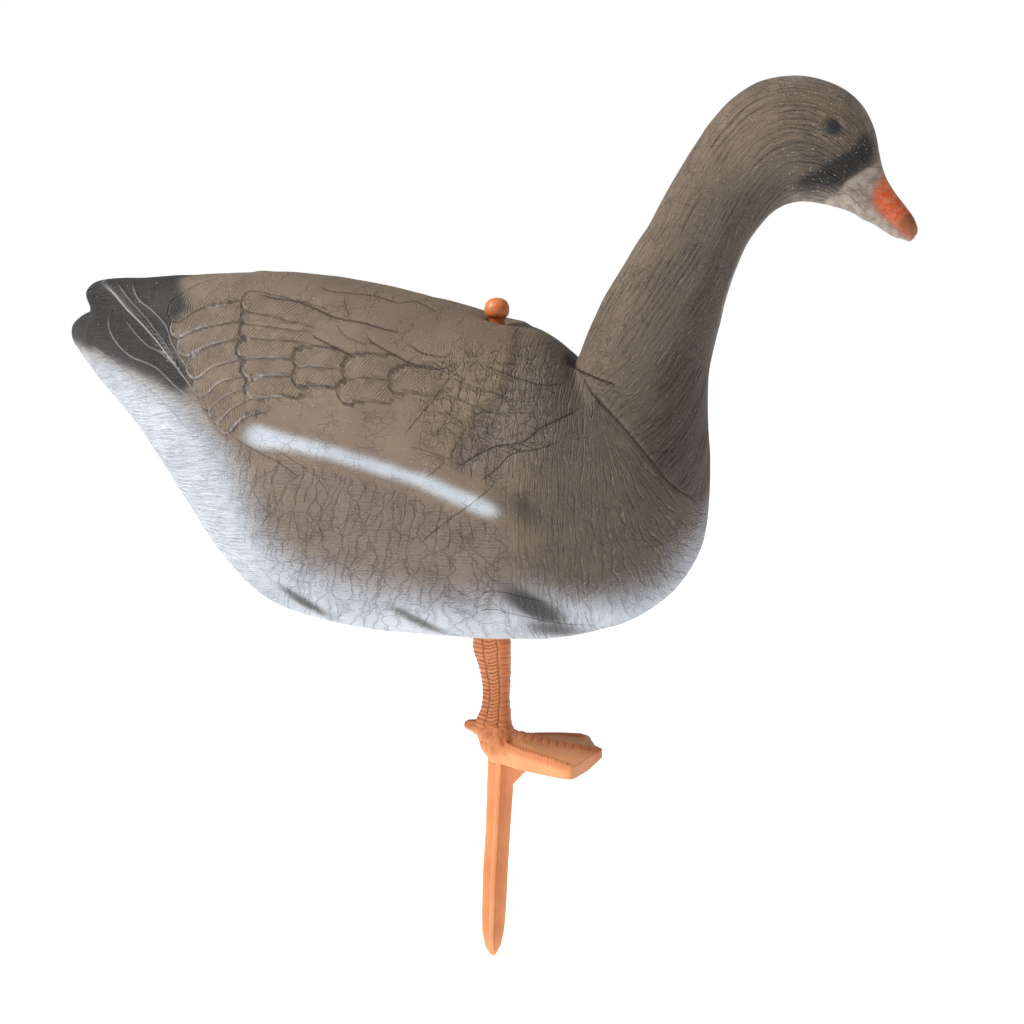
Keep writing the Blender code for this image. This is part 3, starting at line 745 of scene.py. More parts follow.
class Shader:
    """A node material that is built up from short calls."""

    def __init__(self, name, roughness=0.6):
        self.material = bpy.data.materials.new(name)
        self.material.use_nodes = True
        self.nodes = self.material.node_tree.nodes
        self.links = self.material.node_tree.links
        self.surface = self.nodes["Principled BSDF"]
        self.surface.inputs["Roughness"].default_value = roughness

    def feed(self, socket, value):
        """Links a socket to a socket, or sets its number."""
        if isinstance(value, bpy.types.NodeSocket):
            self.links.new(value, socket)
        else:
            socket.default_value = value

    def field(self, name, vector=False):
        """A number or vector that the mesh carries on its vertices."""
        node = self.nodes.new("ShaderNodeAttribute")
        node.attribute_name = name
        return node.outputs["Vector" if vector else "Fac"]

    def maths(self, operation, first, second=0.0, clamp=False):
        """One arithmetic step; either side may be a socket or a number."""
        node = self.nodes.new("ShaderNodeMath")
        node.operation = operation
        node.use_clamp = clamp
        self.feed(node.inputs[0], first)
        self.feed(node.inputs[1], second)
        return node.outputs[0]

    def times(self, first, *others):
        """The product of all the values."""
        for other in others:
            first = self.maths("MULTIPLY", first, other)
        return first

    def plus(self, first, *others):
        """The sum of all the values."""
        for other in others:
            first = self.maths("ADD", first, other)
        return first

    def inverse(self, value):
        """1 where the value is 0, and 0 where it is 1."""
        return self.maths("SUBTRACT", 1.0, value, clamp=True)

    def ramp(self, value, low, high, bottom=0.0, top=1.0):
        """A smooth ramp of a value from low to high."""
        node = self.nodes.new("ShaderNodeMapRange")
        node.interpolation_type = "SMOOTHSTEP"
        self.feed(node.inputs["Value"], value)
        self.feed(node.inputs["From Min"], low)
        self.feed(node.inputs["From Max"], high)
        self.feed(node.inputs["To Min"], bottom)
        self.feed(node.inputs["To Max"], top)
        return node.outputs["Result"]

    def stretched(self, vector, *scale):
        """A plane vector scaled along each axis."""
        node = self.nodes.new("ShaderNodeVectorMath")
        node.operation = "MULTIPLY"
        self.feed(node.inputs[0], vector)
        node.inputs[1].default_value = (*scale, 0.0)
        return node.outputs[0]

    def shifted(self, vector, offset, amount):
        """A vector moved by a random colour times an amount."""
        centred = self.nodes.new("ShaderNodeVectorMath")
        centred.operation = "SUBTRACT"
        self.feed(centred.inputs[0], offset)
        centred.inputs[1].default_value = (0.5, 0.5, 0.5)
        scaled = self.nodes.new("ShaderNodeVectorMath")
        scaled.operation = "SCALE"
        self.links.new(centred.outputs[0], scaled.inputs[0])
        scaled.inputs["Scale"].default_value = amount
        moved = self.nodes.new("ShaderNodeVectorMath")
        moved.operation = "ADD"
        self.feed(moved.inputs[0], vector)
        self.links.new(scaled.outputs[0], moved.inputs[1])
        return moved.outputs[0]

    def noise(self, vector, scale, detail=2.0, roughness=0.5, colour=False):
        """Fractal noise from 0 to 1, or a random colour."""
        node = self.nodes.new("ShaderNodeTexNoise")
        self.feed(node.inputs["Vector"], vector)
        node.inputs["Scale"].default_value = scale
        node.inputs["Detail"].default_value = detail
        node.inputs["Roughness"].default_value = roughness
        return node.outputs["Color" if colour else "Fac"]

    def cells(self, vector):
        """Distance to the nearest edge of a pattern of cells one unit wide."""
        node = self.nodes.new("ShaderNodeTexVoronoi")
        node.feature = "DISTANCE_TO_EDGE"
        self.feed(node.inputs["Vector"], vector)
        node.inputs["Scale"].default_value = 1.0
        return node.outputs["Distance"]

    def component(self, vector, axis):
        """One component of a vector."""
        node = self.nodes.new("ShaderNodeSeparateXYZ")
        self.feed(node.inputs[0], vector)
        return node.outputs[axis]

    def wave(self, value):
        """Sine of a phase in turns, from 0 to 1."""
        turned = self.maths("SINE", self.times(value, 2.0 * math.pi))
        return self.plus(self.times(turned, 0.5), 0.5)

    def blend(self, amount, first, second):
        """A colour mix; the colours may be sockets or values."""
        node = self.nodes.new("ShaderNodeMix")
        node.data_type = "RGBA"
        self.feed(node.inputs["Factor"], amount)
        self.feed(node.inputs[6], first)
        self.feed(node.inputs[7], second)
        return node.outputs[2]

    def finish(self, colour, roughness, height, distance):
        """Joins colour, roughness and a height in units of distance to the surface shader."""
        bump = self.nodes.new("ShaderNodeBump")
        bump.inputs["Strength"].default_value = 1.0
        bump.inputs["Distance"].default_value = distance
        self.feed(bump.inputs["Height"], height)
        self.links.new(bump.outputs["Normal"], self.surface.inputs["Normal"])
        self.feed(self.surface.inputs["Base Color"], colour)
        self.feed(self.surface.inputs["Roughness"], roughness)
        return self.material


def crack_lines(s, vector, across, along, wander, width):
    """Cells of cracks stretched in the direction of flow: 1 in the crack, 0 on the skin."""
    drift = s.noise(s.stretched(vector, 1.0 / (2.2 * across), 1.0 / (0.5 * along)), 1.0, 3.0, colour=True)
    placed = s.shifted(s.stretched(vector, 1.0 / across, 1.0 / along), drift, wander)
    return s.ramp(s.cells(placed), width, width * 0.15)


LIT_SIDE = -0.15

# Sets of wrinkles: direction, level or upright, spacing, length of run, waviness, sharpness, cover, zone,
# share in the painted shade of the lines and share in the lit edges.
WRINKLES = (
    ("flow", False, 3.4, 22.0, 2.2, 0.22, 0.52, "w_length", 0.5, 1.0),
    ("flow", False, 3.2, 40.0, 1.4, 0.3, 0.6, "w_rump", 0.4, 0.6),
    ("fan", False, 3.9, 22.0, 2.5, 0.26, 0.54, "w_breast", 0.7, 1.0),
    ("fan", False, 8.6, 24.0, 2.4, 0.1, 0.52, "w_flank", 0.85, 0.7),
    ("fan", False, 6.8, 14.0, 2.4, 0.15, 0.52, "w_shoulder", 0.8, 0.8),
    ("fan", True, 7.6, 15.0, 2.6, 0.13, 0.52, "w_shoulder", 0.8, 0.8),
)
FINE_WRINKLES = (
    ("flow", False, 1.9, 9.0, 1.6, 0.3, 0.5, "w_length", 0.5),
    ("fan", False, 2.1, 12.0, 2.4, 0.3, 0.5, "w_breast", 0.5),
    ("fan", True, 2.5, 7.0, 1.2, 0.3, 0.5, "w_flank", 0.8),
    ("fan", True, 2.7, 7.0, 1.6, 0.28, 0.46, "w_shoulder", 0.6),
)
BARB_SPACING = 1.9


def crease_set(s, direction, level, spacing, run, wander, sharp, cover, zone):
    """Side by side wavy lines that come and go, and the lit edge beside each: 1 in a line, 0 elsewhere."""
    vector = s.field(direction, True)
    across = s.component(vector, "Y" if level else "X")
    scale = (1.0 / run, 0.45 / spacing) if level else (0.45 / spacing, 1.0 / run)
    waver = s.noise(s.stretched(vector, *scale), 1.0, 3.0, 0.55)
    phase = s.plus(s.times(across, 1.0 / spacing), s.times(waver, wander))
    patches = s.noise(s.stretched(vector, *(1.4 * value for value in scale)), 1.0, 1.0)
    shown = s.times(s.ramp(patches, cover + 0.1, cover - 0.1), s.field(zone))
    line = s.times(s.ramp(s.wave(phase), sharp, sharp * 0.12), shown)
    lit = s.times(s.ramp(s.wave(s.plus(phase, LIT_SIDE)), sharp, sharp * 0.12), shown)
    return line, lit


def foam_patterns(s):
    """Wrinkles, cracks and barbs of the skin: deep and slight painted shade in the lines, painted highlight
    on their lit edges, depth in millimetres.
    """
    side = s.field("side", True)
    branches = s.times(crack_lines(s, s.field("fan", True), 17.0, 30.0, 1.0, 0.03), s.field("w_flank"))
    deep, lit = [s.times(branches, 0.7)], []
    for *settings, darkness, light in WRINKLES:
        line, edge = crease_set(s, *settings)
        deep.append(s.times(line, darkness))
        lit.append(s.times(edge, light))
    deep, lit = s.maths("MINIMUM", s.plus(*deep), 1.0), s.plus(*lit)
    barb_phase = s.plus(s.times(s.field("barb"), 1.0 / BARB_SPACING), s.times(s.noise(side, 0.12, 1.0), 1.2))
    barbs = s.times(s.ramp(s.wave(barb_phase), 0.6, 0.1), s.field("feathered"),
                    s.ramp(s.noise(side, 0.1, 2.0), 0.35, 0.6, 0.25, 1.0))
    web = s.times(crack_lines(s, side, 9.0, 6.5, 1.1, 0.045), s.ramp(s.noise(side, 0.05, 2.0), 0.42, 0.6))
    slight = [s.times(barbs, 0.9), s.times(web, 0.6)]
    patchy = s.ramp(s.ramp(s.noise(side, 0.035, 2.0), 0.35, 0.62), 0.1, 0.7, 0.3, 1.0)
    for *settings, darkness in FINE_WRINKLES:
        line, _ = crease_set(s, *settings)
        slight.append(s.times(line, darkness, patchy if settings[-1] == "w_flank" else 1.0))
    slight = s.maths("MINIMUM", s.plus(*slight), 1.0)
    depth = s.plus(s.times(deep, 0.62), s.times(slight, 0.4), s.times(lit, -0.3))
    return deep, slight, s.times(lit, s.inverse(deep)), depth


def foam_edges(s):
    """Feather edges, creases and quills: shadow, pale rim, and height in millimetres."""
    edge, near, rim = s.field("edge"), s.field("edge_near"), s.field("rim")
    broken = s.ramp(s.noise(s.field("side", True), 0.16, 2.0), 0.32, 0.62, 0.35, 1.0)
    close = s.times(s.ramp(near, 2.7, 1.9), s.field("edge_tone"), broken)
    gap = s.times(s.ramp(edge, -0.2, 0.2), s.ramp(edge, 1.5, 0.3), close)
    lip = s.times(s.ramp(edge, 0.2, -0.3), s.ramp(edge, -2.4, -0.5), close)
    side, crease_near = s.field("crease"), s.field("crease_near")
    # Painted shade along each crease groove.
    tone, crease_depth = s.field("crease_tone"), s.field("crease_depth")
    wobble = s.times(s.plus(s.noise(s.field("side", True), 0.35, 2.0), -0.5), 1.4)
    crooked = s.maths("ABSOLUTE", s.plus(side, wobble))
    crease = s.times(s.ramp(crooked, 0.75, 0.2), s.ramp(crease_near, 4.0, 2.5), tone)
    ridge = s.ramp(s.maths("ABSOLUTE", s.field("quill")), 1.0, 0.25)
    quill = s.times(ridge, s.ramp(s.field("quill_near"), 4.0, 2.5))
    shadow = s.plus(s.times(gap, 0.5), crease)
    height = s.plus(s.times(gap, -0.5), s.times(lip, 0.2), s.times(crease, -0.5, crease_depth),
                    s.times(quill, 0.35))
    return shadow, s.times(lip, rim), s.times(quill, s.field("quill_tone")), height


def speckled(s, mask, grain, spread=1.1, hardness=0.42):
    """An airbrushed mask whose soft edge breaks up into droplets."""
    soft_edge = s.ramp(s.times(mask, s.inverse(mask)), 0.0, 0.12)
    lifted = s.plus(mask, s.times(s.plus(grain, -0.5), spread, soft_edge))
    return s.ramp(lifted, 0.5 - hardness, 0.5 + hardness)


def foam_material():
    """Airbrushed closed-cell foam with feather relief, painted shade in its grooves and painted highlights
    beside them and on the head and bill.
    """
    s = Shader("painted_foam", 0.6)
    side = s.field("side", True)
    grain = s.noise(side, 1.3, 2.0, 0.7)
    fine = s.noise(side, 3.2, 2.0, 0.7)
    broad = s.noise(side, 0.022, 3.0, 0.55)
    deep, slight, lit, depth = foam_patterns(s)
    shadow, lip, quill, edge_height = foam_edges(s)
    furrow = s.field("furrow")
    # Painted shade in the groove along the seam between the two halves.
    seam = s.ramp(s.field("seam"), 1.5, 0.3)
    # Painted shade in wrinkles, cracks, barbs, feather edges, creases, furrows and the seam.
    dark = s.plus(s.times(deep, 0.36), s.times(slight, 0.28), s.times(shadow, 0.8), s.times(furrow, 0.6),
                  s.times(seam, 0.75))
    dark = s.maths("MINIMUM", dark, 1.0)
    coat = s.blend(s.ramp(broad, 0.3, 0.7), srgb(108, 91, 75), srgb(124, 106, 86))
    flank = s.blend(s.ramp(broad, 0.3, 0.7), srgb(104, 89, 79), srgb(122, 106, 93))
    coat = s.blend(s.field("w_flank"), coat, flank)
    # Painted shade: the coat turns dark brown on the neck front, the shoulder, along the front seam and round
    # the cheek.
    coat = s.blend(s.times(s.field("dusk"), 0.9), coat, srgb(56, 47, 40))
    coat = s.blend(s.times(s.ramp(grain, 0.35, 0.75), 0.35), coat, srgb(146, 130, 112))
    # Painted highlight along the lit edge beside each wrinkle.
    lit = s.times(lit, s.ramp(grain, 0.35, 0.6, 0.4, 1.0))
    coat = s.blend(s.maths("MINIMUM", s.times(lit, 0.42), 1.0), coat, srgb(158, 143, 126))
    rims = s.times(s.plus(lip, s.times(quill, 0.8)), s.ramp(grain, 0.3, 0.55, 0.55, 1.0))
    black = speckled(s, s.field("black"), grain)
    soot = s.blend(s.ramp(fine, 0.4, 0.75), srgb(18, 18, 18), srgb(40, 40, 39))
    coat = s.blend(s.times(black, 0.95), coat, soot)
    coat = s.blend(s.maths("MINIMUM", s.times(rims, 0.85), 1.0), coat, srgb(188, 184, 182))
    white = speckled(s, s.field("white"), grain)
    white = s.times(white, s.inverse(s.times(black, 0.92)))
    coat = s.blend(white, coat, s.blend(s.ramp(broad, 0.3, 0.7), srgb(178, 185, 195), srgb(198, 204, 212)))
    coat = s.blend(s.times(s.field("tip_pale"), 0.6), coat, srgb(160, 160, 162))
    # Pale paint of the bill, cheek and throat, and the painted highlight on the crown and above the bill.
    pale_paint_and_highlight = s.blend(s.ramp(s.noise(side, 0.14, 3.0), 0.35, 0.65), srgb(158, 142, 130), srgb(190, 176, 162))
    coat = s.blend(s.times(s.field("pale"), s.ramp(grain, 0.3, 0.6, 0.7, 1.0), 0.88), coat, pale_paint_and_highlight)
    orange = s.blend(s.ramp(s.noise(side, 0.25, 3.0), 0.35, 0.7), srgb(230, 92, 42), srgb(236, 134, 92))
    coat = s.blend(s.field("orange"), coat, orange)
    coat = s.blend(s.times(s.field("brown_tip"), 0.85), coat, srgb(142, 82, 48))
    coat = s.blend(s.field("eye"), coat, s.blend(s.ramp(fine, 0.4, 0.7), srgb(26, 31, 32), srgb(52, 60, 61)))
    droplets = s.noise(side, 0.9, 1.0, 0.3)
    on_head = s.times(s.field("w_head"), s.ramp(droplets, 0.69, 0.74))
    flecks = s.times(s.plus(s.ramp(droplets, 0.735, 0.775), on_head), s.inverse(s.field("eye")))
    coat = s.blend(s.times(flecks, 0.6), coat, srgb(214, 206, 196))
    in_paint = s.ramp(white, 0.2, 0.9, 0.88, 0.42)
    # The painted shade turns the colour dark brown, less on white paint and not on the eye.
    colour = s.blend(s.times(dark, in_paint, s.inverse(s.field("eye"))), coat, srgb(34, 28, 23))
    pores = s.times(s.plus(fine, -0.5), 0.16)
    lumps = s.times(s.plus(grain, -0.5), 0.22)
    height = s.plus(s.times(depth, -1.0), edge_height, pores, lumps)
    roughness = s.ramp(grain, 0.2, 0.8, 0.56, 0.72)
    return s.finish(colour, roughness, height, 2.0 * MM)


# ---------------------------------------------------------------- leg, foot and spike

# Rings of the leg from the top down: height, centre x, half depth in x, half width in y.
LEG_RINGS = (
    (98.0, -4.1, 14.2, 9.8), (92.0, -4.1, 14.5, 10.0), (86.0, -4.1, 14.4, 10.0), (78.0, -2.7, 13.0, 9.5),
    (70.5, -1.5, 11.9, 9.1), (62.0, -0.9, 10.9, 8.7), (54.5, -0.8, 10.4, 8.5), (45.0, -1.0, 10.7, 8.7),
    (38.0, -1.5, 11.8, 9.3), (30.0, -3.0, 13.8, 10.4), (20.0, -1.0, 15.0, 12.0), (9.0, 2.0, 14.0, 12.0),
    (2.0, 5.0, 12.0, 10.0),
)
LEG_ROUNDNESS = 2.5
SOCKET_RADIUS = 6.4
SOCKET_DEPTH = 25.0

# Half plan of the foot on the bird's right side: x, y, top height.
FOOT_PLAN = (
    (-6.0, 0.0, 14.0), (-3.5, -8.0, 13.0), (8.0, -14.5, 15.2), (20.0, -24.0, 14.6), (43.0, -36.0, 13.0),
    (60.0, -43.0, 11.4), (65.0, -41.0, 10.4), (68.5, -32.0, 10.0), (73.0, -17.0, 10.4),
)
FOOT_CROWN = (12.0, 0.0, 21.0)
TOE_TIP = (81.0, 0.0, 13.0)
TOE_TIP_LIFT = 5.5
WEB_SAG = 1.8

# Toes as tapered bars: centre x, y, z and radius along their length.
MIDDLE_TOE = ((4.0, 0.0, 17.5, 8.0), (19.0, 0.0, 16.5, 6.6), (45.0, 0.0, 12.6, 5.4), (71.0, 0.0, 9.6, 4.6),
              (80.0, 0.0, 9.0, 2.4))
HIND_TOE = ((2.0, 0.0, 20.0, 9.2), (-10.0, 0.0, 22.0, 8.3), (-19.0, 0.0, 26.0, 5.0), (-25.5, 0.0, 26.6, 2.6))
SIDE_TOE = ((8.0, 11.5, 14.6, 3.4), (20.0, 20.5, 13.6, 3.0), (43.0, 33.0, 11.9, 2.6), (60.0, 40.0, 10.3, 2.2))
MIDDLE_BEAD = 6.2
SIDE_BEAD = 2.9

SPIKE_FIN = 3.8
SPIKE_RINGS = (
    (8.0, 3.0, 10.1), (-24.5, 1.9, 10.1), (-56.5, 0.3, 9.5), (-89.0, -1.7, 9.7), (-121.5, -2.9, 9.4),
    (-138.0, -3.6, 8.6), (-150.0, -3.8, 6.3), (-156.0, -3.9, 3.2), (-158.2, -3.9, 1.2),
)
GUSSET = ((6.0, 5.0), (33.0, 5.0), (30.0, 0.5), (12.0, -19.5), (6.0, -19.5))
GUSSET_HALF = 2.0
STAKE_VOXEL = 0.72


def ringed_solid(name, rings):
    """A closed solid from rings of equal count, in millimetres."""
    count = len(rings[0])
    vertices = np.concatenate([np.array(ring, float) for ring in rings]) * MM
    faces = []
    for row in range(len(rings) - 1):
        for index in range(count):
            after = (index + 1) % count
            low, high = row * count, (row + 1) * count
            faces.append((low + index, low + after, high + after, high + index))
    faces.append(tuple(range(count)))
    faces.append(tuple(range((len(rings) - 1) * count, len(rings) * count)))
    return mesh_from(name, vertices, faces, 60.0)


def circle(radius, z, sides=48):
    """A level ring about the rod's axis."""
    angles = np.arange(sides) * 2.0 * math.pi / sides
    return np.stack([radius * np.cos(angles), radius * np.sin(angles), np.full(sides, z)], axis=1)


def leg_column():
    """The leg from the platform under the belly down into the foot."""
    rings = []
    for index in range(len(LEG_RINGS) - 1):
        for fraction in (0.0, 0.5):
            z, x, depth, width = smooth_between(np.array(LEG_RINGS), index, fraction)
            rings.append(superellipse(x, z, depth, width))
    z, x, depth, width = LEG_RINGS[-1]
    rings.append(superellipse(x, z, depth, width))
    return ringed_solid("leg_column", rings)


def superellipse(x, z, depth, width, sides=48):
    """One level ring of the leg, a little squarer than an ellipse."""
    angles = np.arange(sides) * 2.0 * math.pi / sides
    power = 2.0 / LEG_ROUNDNESS
    cosines = np.sign(np.cos(angles)) * np.abs(np.cos(angles)) ** power
    sines = np.sign(np.sin(angles)) * np.abs(np.sin(angles)) ** power
    return np.stack([x + depth * cosines, width * sines, np.full(sides, z)], axis=1)


def foot_web():
    """The web and its thick rim: flat underneath, sagging a little between the toes."""
    right = smooth_line(FOOT_PLAN, 1.5)
    tip = np.array([TOE_TIP])
    left = right[::-1][:-1] * (1.0, -1.0, 1.0)
    rim = np.concatenate([right, tip, left])
    at_tip = len(right)
    crown = np.array(FOOT_CROWN)
    floor = rim * (1.0, 1.0, 0.0)
    floor[at_tip, 2] = TOE_TIP_LIFT
    rings = [floor]
    for share in np.linspace(1.0, 0.06, 14):
        ring = crown + (rim - crown) * share
        ring[:, 2] -= WEB_SAG * math.sin(math.pi * min(share, 1.0)) ** 0.6
        rings.append(ring)
    return ringed_solid("foot_web", rings)


def toe(name, stations, mirror=1.0, bead=0.0, swell=0.0, sides=20):
    """A round tapered toe, beaded along its length where bead is its pitch."""
    run = smooth_line(stations, 0.5)
    length = arc_lengths(run[:, :3], 0)
    rings = []
    angles = np.arange(sides) * 2.0 * math.pi / sides
    for point, at in zip(run, length):
        step = 1.0 + swell * (abs(math.sin(math.pi * at / bead)) ** 0.6 - 0.7) if bead else 1.0
        radius = point[3] * step
        ring = np.stack([np.full(sides, point[0]), np.cos(angles) * radius, np.sin(angles) * radius], axis=1)
        ring += (0.0, point[1] * mirror, point[2])
        rings.append(ring)
    return ringed_solid(name, rings)


def spike_fin(across):
    """One fin of the cross-shaped spike."""
    rings = []
    for z, x, span in SPIKE_RINGS:
        half = min(SPIKE_FIN / 2.0, span)
        depth, width = (half, span) if across else (span, half)
        rings.append([(x + depth * i, width * j, z) for i, j in ((1, 1), (-1, 1), (-1, -1), (1, -1))])
    return ringed_solid("spike_fin", rings)


def gusset():
    """The thin rib that braces the spike against the sole."""
    return ringed_solid("gusset", [[(x, y, z) for x, z in GUSSET] for y in (-GUSSET_HALF, GUSSET_HALF)])


def apply_modifier(thing, kind, **settings):
    """Adds a modifier with its settings and applies it."""
    step = thing.modifiers.new(kind.lower(), kind)
    for key, value in settings.items():
        setattr(step, key, value)
    bpy.context.view_layer.objects.active = thing
    bpy.ops.object.modifier_apply(modifier=step.name)


def joined(things, name):
    """One object that holds all the given ones."""
    bm = bmesh.new()
    for thing in things:
        bm.from_mesh(thing.data)
        bpy.data.objects.remove(thing, do_unlink=True)
    mesh = bpy.data.meshes.new(name)
    bm.to_mesh(mesh)
    bm.free()
    whole = bpy.data.objects.new(name, mesh)
    bpy.context.scene.collection.objects.link(whole)
    return whole


def vertex_arrays(mesh):
    """Positions in millimetres and normals of a mesh's vertices."""
    points = np.zeros(len(mesh.vertices) * 3)
    mesh.vertices.foreach_get("co", points)
    normals = np.zeros(len(mesh.vertices) * 3)
    mesh.vertices.foreach_get("normal", normals)
    return points.reshape(-1, 3) / MM, normals.reshape(-1, 3)


def scute_relief(x, z, normals):
    """Height of the leg's scales, and how deep in a groove between them each point is."""
    rings = np.array(LEG_RINGS)[::-1]
    centre = np.interp(z, rings[:, 0], rings[:, 1])
    depth = np.interp(z, rings[:, 0], rings[:, 2])
    u = (x - centre) / depth
    wander = 0.12 * np.sin(z / 5.0) + 0.05 * np.sin(z / 2.1)
    rear = smoothstep(-0.34, -0.42, u + wander * 0.3)
    front = smoothstep(0.34, 0.42, u + wander * 0.3)
    middle = (1.0 - rear) * (1.0 - front)
    jitter = 0.25 * np.sin(z * 0.83) + 0.2 * np.sin(z * 0.31 + 1.0)
    rear_wave = np.abs(np.sin(math.pi * (z / 3.3 + 0.25 * u + jitter * 0.4)))
    chevron = np.abs(np.sin(math.pi * (z / 2.7 - 1.1 * np.abs(u + 0.05) - 0.5 * u + jitter * 0.4)))
    front_wave = np.abs(np.sin(math.pi * (z / 5.6 + 0.3 * u + jitter)))
    scale = rear * rear_wave**0.6 + middle * chevron**0.6 + front * (0.3 + 0.7 * front_wave**0.5)
    split = np.minimum(np.abs(u + 0.38 + wander * 0.3), np.abs(u - 0.38 + wander * 0.3)) * depth
    column_gap = np.exp(-((split / 0.65) ** 2))
    sideways = np.clip(np.abs(normals[:, 1]) * 1.6, 0.0, 1.0)
    on_leg = smoothstep(22.0, 32.0, z) * smoothstep(97.6, 96.0, z)
    groove = np.clip((1.0 - scale) * 1.25, 0.0, 1.0)
    dark = np.maximum(groove, 0.9 * column_gap * sideways) * on_leg
    height = (1.05 * (scale - 0.8) - 0.9 * column_gap * sideways) * on_leg
    return height, dark, on_leg


def stake_fields(mesh):
    """Sinks the scale grooves into the stake and returns the fields that its paint follows."""
    points, normals = vertex_arrays(mesh)
    x, y, z = points.T
    height, dark, on_leg = scute_relief(x, z, normals)
    knuckle = smoothstep(34.0, 28.0, z) * smoothstep(4.0, 10.0, z) * smoothstep(16.0, 8.0, x)
    pebble = random_field(x / 3.1 + y / 6.0, z / 2.6, 31) + 0.6 * random_field(x / 1.7, z / 1.9 + y / 4.0, 32)
    height += 0.5 * knuckle * pebble
    dark = np.maximum(dark, 0.6 * knuckle * smoothstep(0.0, -1.0, pebble))
    middle = np.array(MIDDLE_TOE)
    ridge = smoothstep(7.5, 3.0, np.abs(y)) * smoothstep(14.0, 20.0, x) * smoothstep(8.0, 12.0, z)
    bead = arc_lengths(middle[:, :3], 0)
    along = np.interp(x, middle[:, 0], bead)
    notch = np.exp(-((np.sin(math.pi * along / MIDDLE_BEAD) / 0.22) ** 2))
    dark = np.maximum(dark, ridge * notch)
    height -= 0.35 * ridge * notch
    side = np.array(SIDE_TOE)
    side_y = np.interp(x, side[:, 0], side[:, 1])
    side_z = np.interp(x, side[:, 0], side[:, 2] + side[:, 3])
    side_along = np.interp(x, side[:, 0], arc_lengths(side[:, :3], 0))
    near_side = smoothstep(5.0, 2.6, np.abs(np.abs(y) - side_y)) * smoothstep(7.0, 4.0, side_z - z)
    near_side = near_side * smoothstep(6.0, 12.0, x) * smoothstep(63.0, 60.0, x) * smoothstep(4.0, 8.0, z)
    notch = np.exp(-((np.sin(math.pi * side_along / SIDE_BEAD) / 0.3) ** 2))
    dark = np.maximum(dark, 0.9 * near_side * notch)
    height -= 0.3 * near_side * notch
    moved = points + normals * height[:, None]
    mesh.vertices.foreach_set("co", (moved * MM).ravel())
    mesh.update()
    toe_wash = smoothstep(60.0, 76.0, x) * smoothstep(16.0, 6.0, np.abs(y))
    wall = smoothstep(9.0, 3.0, np.abs(np.abs(y) - side_y)) * smoothstep(8.5, 3.0, side_z - z)
    wall = wall * smoothstep(0.0, 10.0, x) * smoothstep(66.0, 58.0, x)
    wash = np.clip(0.5 * on_leg + 0.8 * ridge + 0.9 * wall + 0.8 * toe_wash + 0.55 * knuckle, 0.0, 1.0)
    wash = wash * smoothstep(3.0, 8.0, z)
    return {"groove": dark, "wash": wash}


def leg_stake(material):
    """Leg, foot, toes and spike as one moulding with the rod's socket in its top."""
    pieces = [leg_column(), foot_web(), toe("middle_toe", MIDDLE_TOE, 1.0, MIDDLE_BEAD, 0.16)]
    pieces.append(toe("hind_toe", HIND_TOE))
    pieces += [toe("side_toe", SIDE_TOE, mirror, SIDE_BEAD, 0.22, 14) for mirror in (1.0, -1.0)]
    pieces += [spike_fin(False), spike_fin(True), gusset()]
    stake = joined(pieces, "scaled_leg_stake")
    apply_modifier(stake, "REMESH", mode="VOXEL", voxel_size=STAKE_VOXEL * MM, adaptivity=0.0)
    apply_modifier(stake, "SMOOTH", factor=0.5, iterations=2)
    fields = stake_fields(stake.data)
    for field, values in fields.items():
        store_field(stake.data, field, values)
    ends = (LEG_RINGS[0][0] - SOCKET_DEPTH, LEG_RINGS[0][0] + SOCKET_DEPTH)
    cutter = ringed_solid("socket_cutter", [circle(SOCKET_RADIUS, height) for height in ends])
    apply_modifier(stake, "BOOLEAN", object=cutter, operation="DIFFERENCE", solver="EXACT")
    bpy.data.objects.remove(cutter, do_unlink=True)
    stake.data.shade_smooth()
    stake.data.set_sharp_from_angle(angle=math.radians(60.0))
    stake.data.materials.clear()
    stake.data.materials.append(material)
    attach(stake, "stake")
    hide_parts("leg_stake")


def stake_material():
    """Satin peach plastic with a darker wash in the scales."""
    s = Shader("leg_plastic", 0.45)
    coordinates = s.nodes.new("ShaderNodeTexCoord").outputs["Object"]
    broad = s.noise(coordinates, 28.0, 3.0)
    fine = s.noise(coordinates, 900.0, 2.0, 0.6)
    mottled = s.noise(coordinates, 160.0, 3.0, 0.6)
    plain = s.blend(s.ramp(broad, 0.35, 0.65), srgb(212, 136, 84), srgb(222, 150, 98))
    washed = s.blend(s.ramp(mottled, 0.35, 0.7), srgb(190, 106, 54), srgb(204, 122, 70))
    wash = s.times(s.field("wash"), s.ramp(mottled, 0.25, 0.6, 0.8, 1.0))
    colour = s.blend(wash, plain, washed)
    colour = s.blend(s.times(s.ramp(s.field("groove"), 0.1, 0.95), 0.75), colour, srgb(148, 74, 32))
    roughness = s.ramp(mottled, 0.3, 0.7, 0.4, 0.56)
    height = s.plus(s.times(fine, 0.08), s.times(mottled, 0.12))
    return s.finish(colour, roughness, height, MM)


# ---------------------------------------------------------------- support rod

ROD_RADIUS = 6.0
ROD_SIDES = 72

# Outline of the rod and its knob from the foot up: radius and height.
ROD_OUTLINE = (
    (4.6, 73.4), (5.3, 73.5), (5.8, 73.9), (6.0, 74.6), (6.0, 130.0), (6.0, 190.0), (6.0, 250.0),
    (6.0, 310.0), (6.0, 336.0), (6.05, 337.4), (6.4, 338.5), (7.2, 339.3), (8.1, 339.9), (8.7, 340.8),
    (9.05, 342.0), (9.25, 343.6), (9.25, 345.0), (9.0, 346.8), (8.4, 348.6), (7.4, 350.2), (6.1, 351.4),
    (4.6, 352.3), (3.0, 352.8), (1.6, 353.05), (1.5, 352.6), (0.9, 352.5),
)
PARTING_LINE = 0.09
PARTING_SPREAD = 0.06
UNDER_KNOB_TOP = (341.5, 338.5)
UNDER_KNOB_FOOT = (332.0, 336.0)


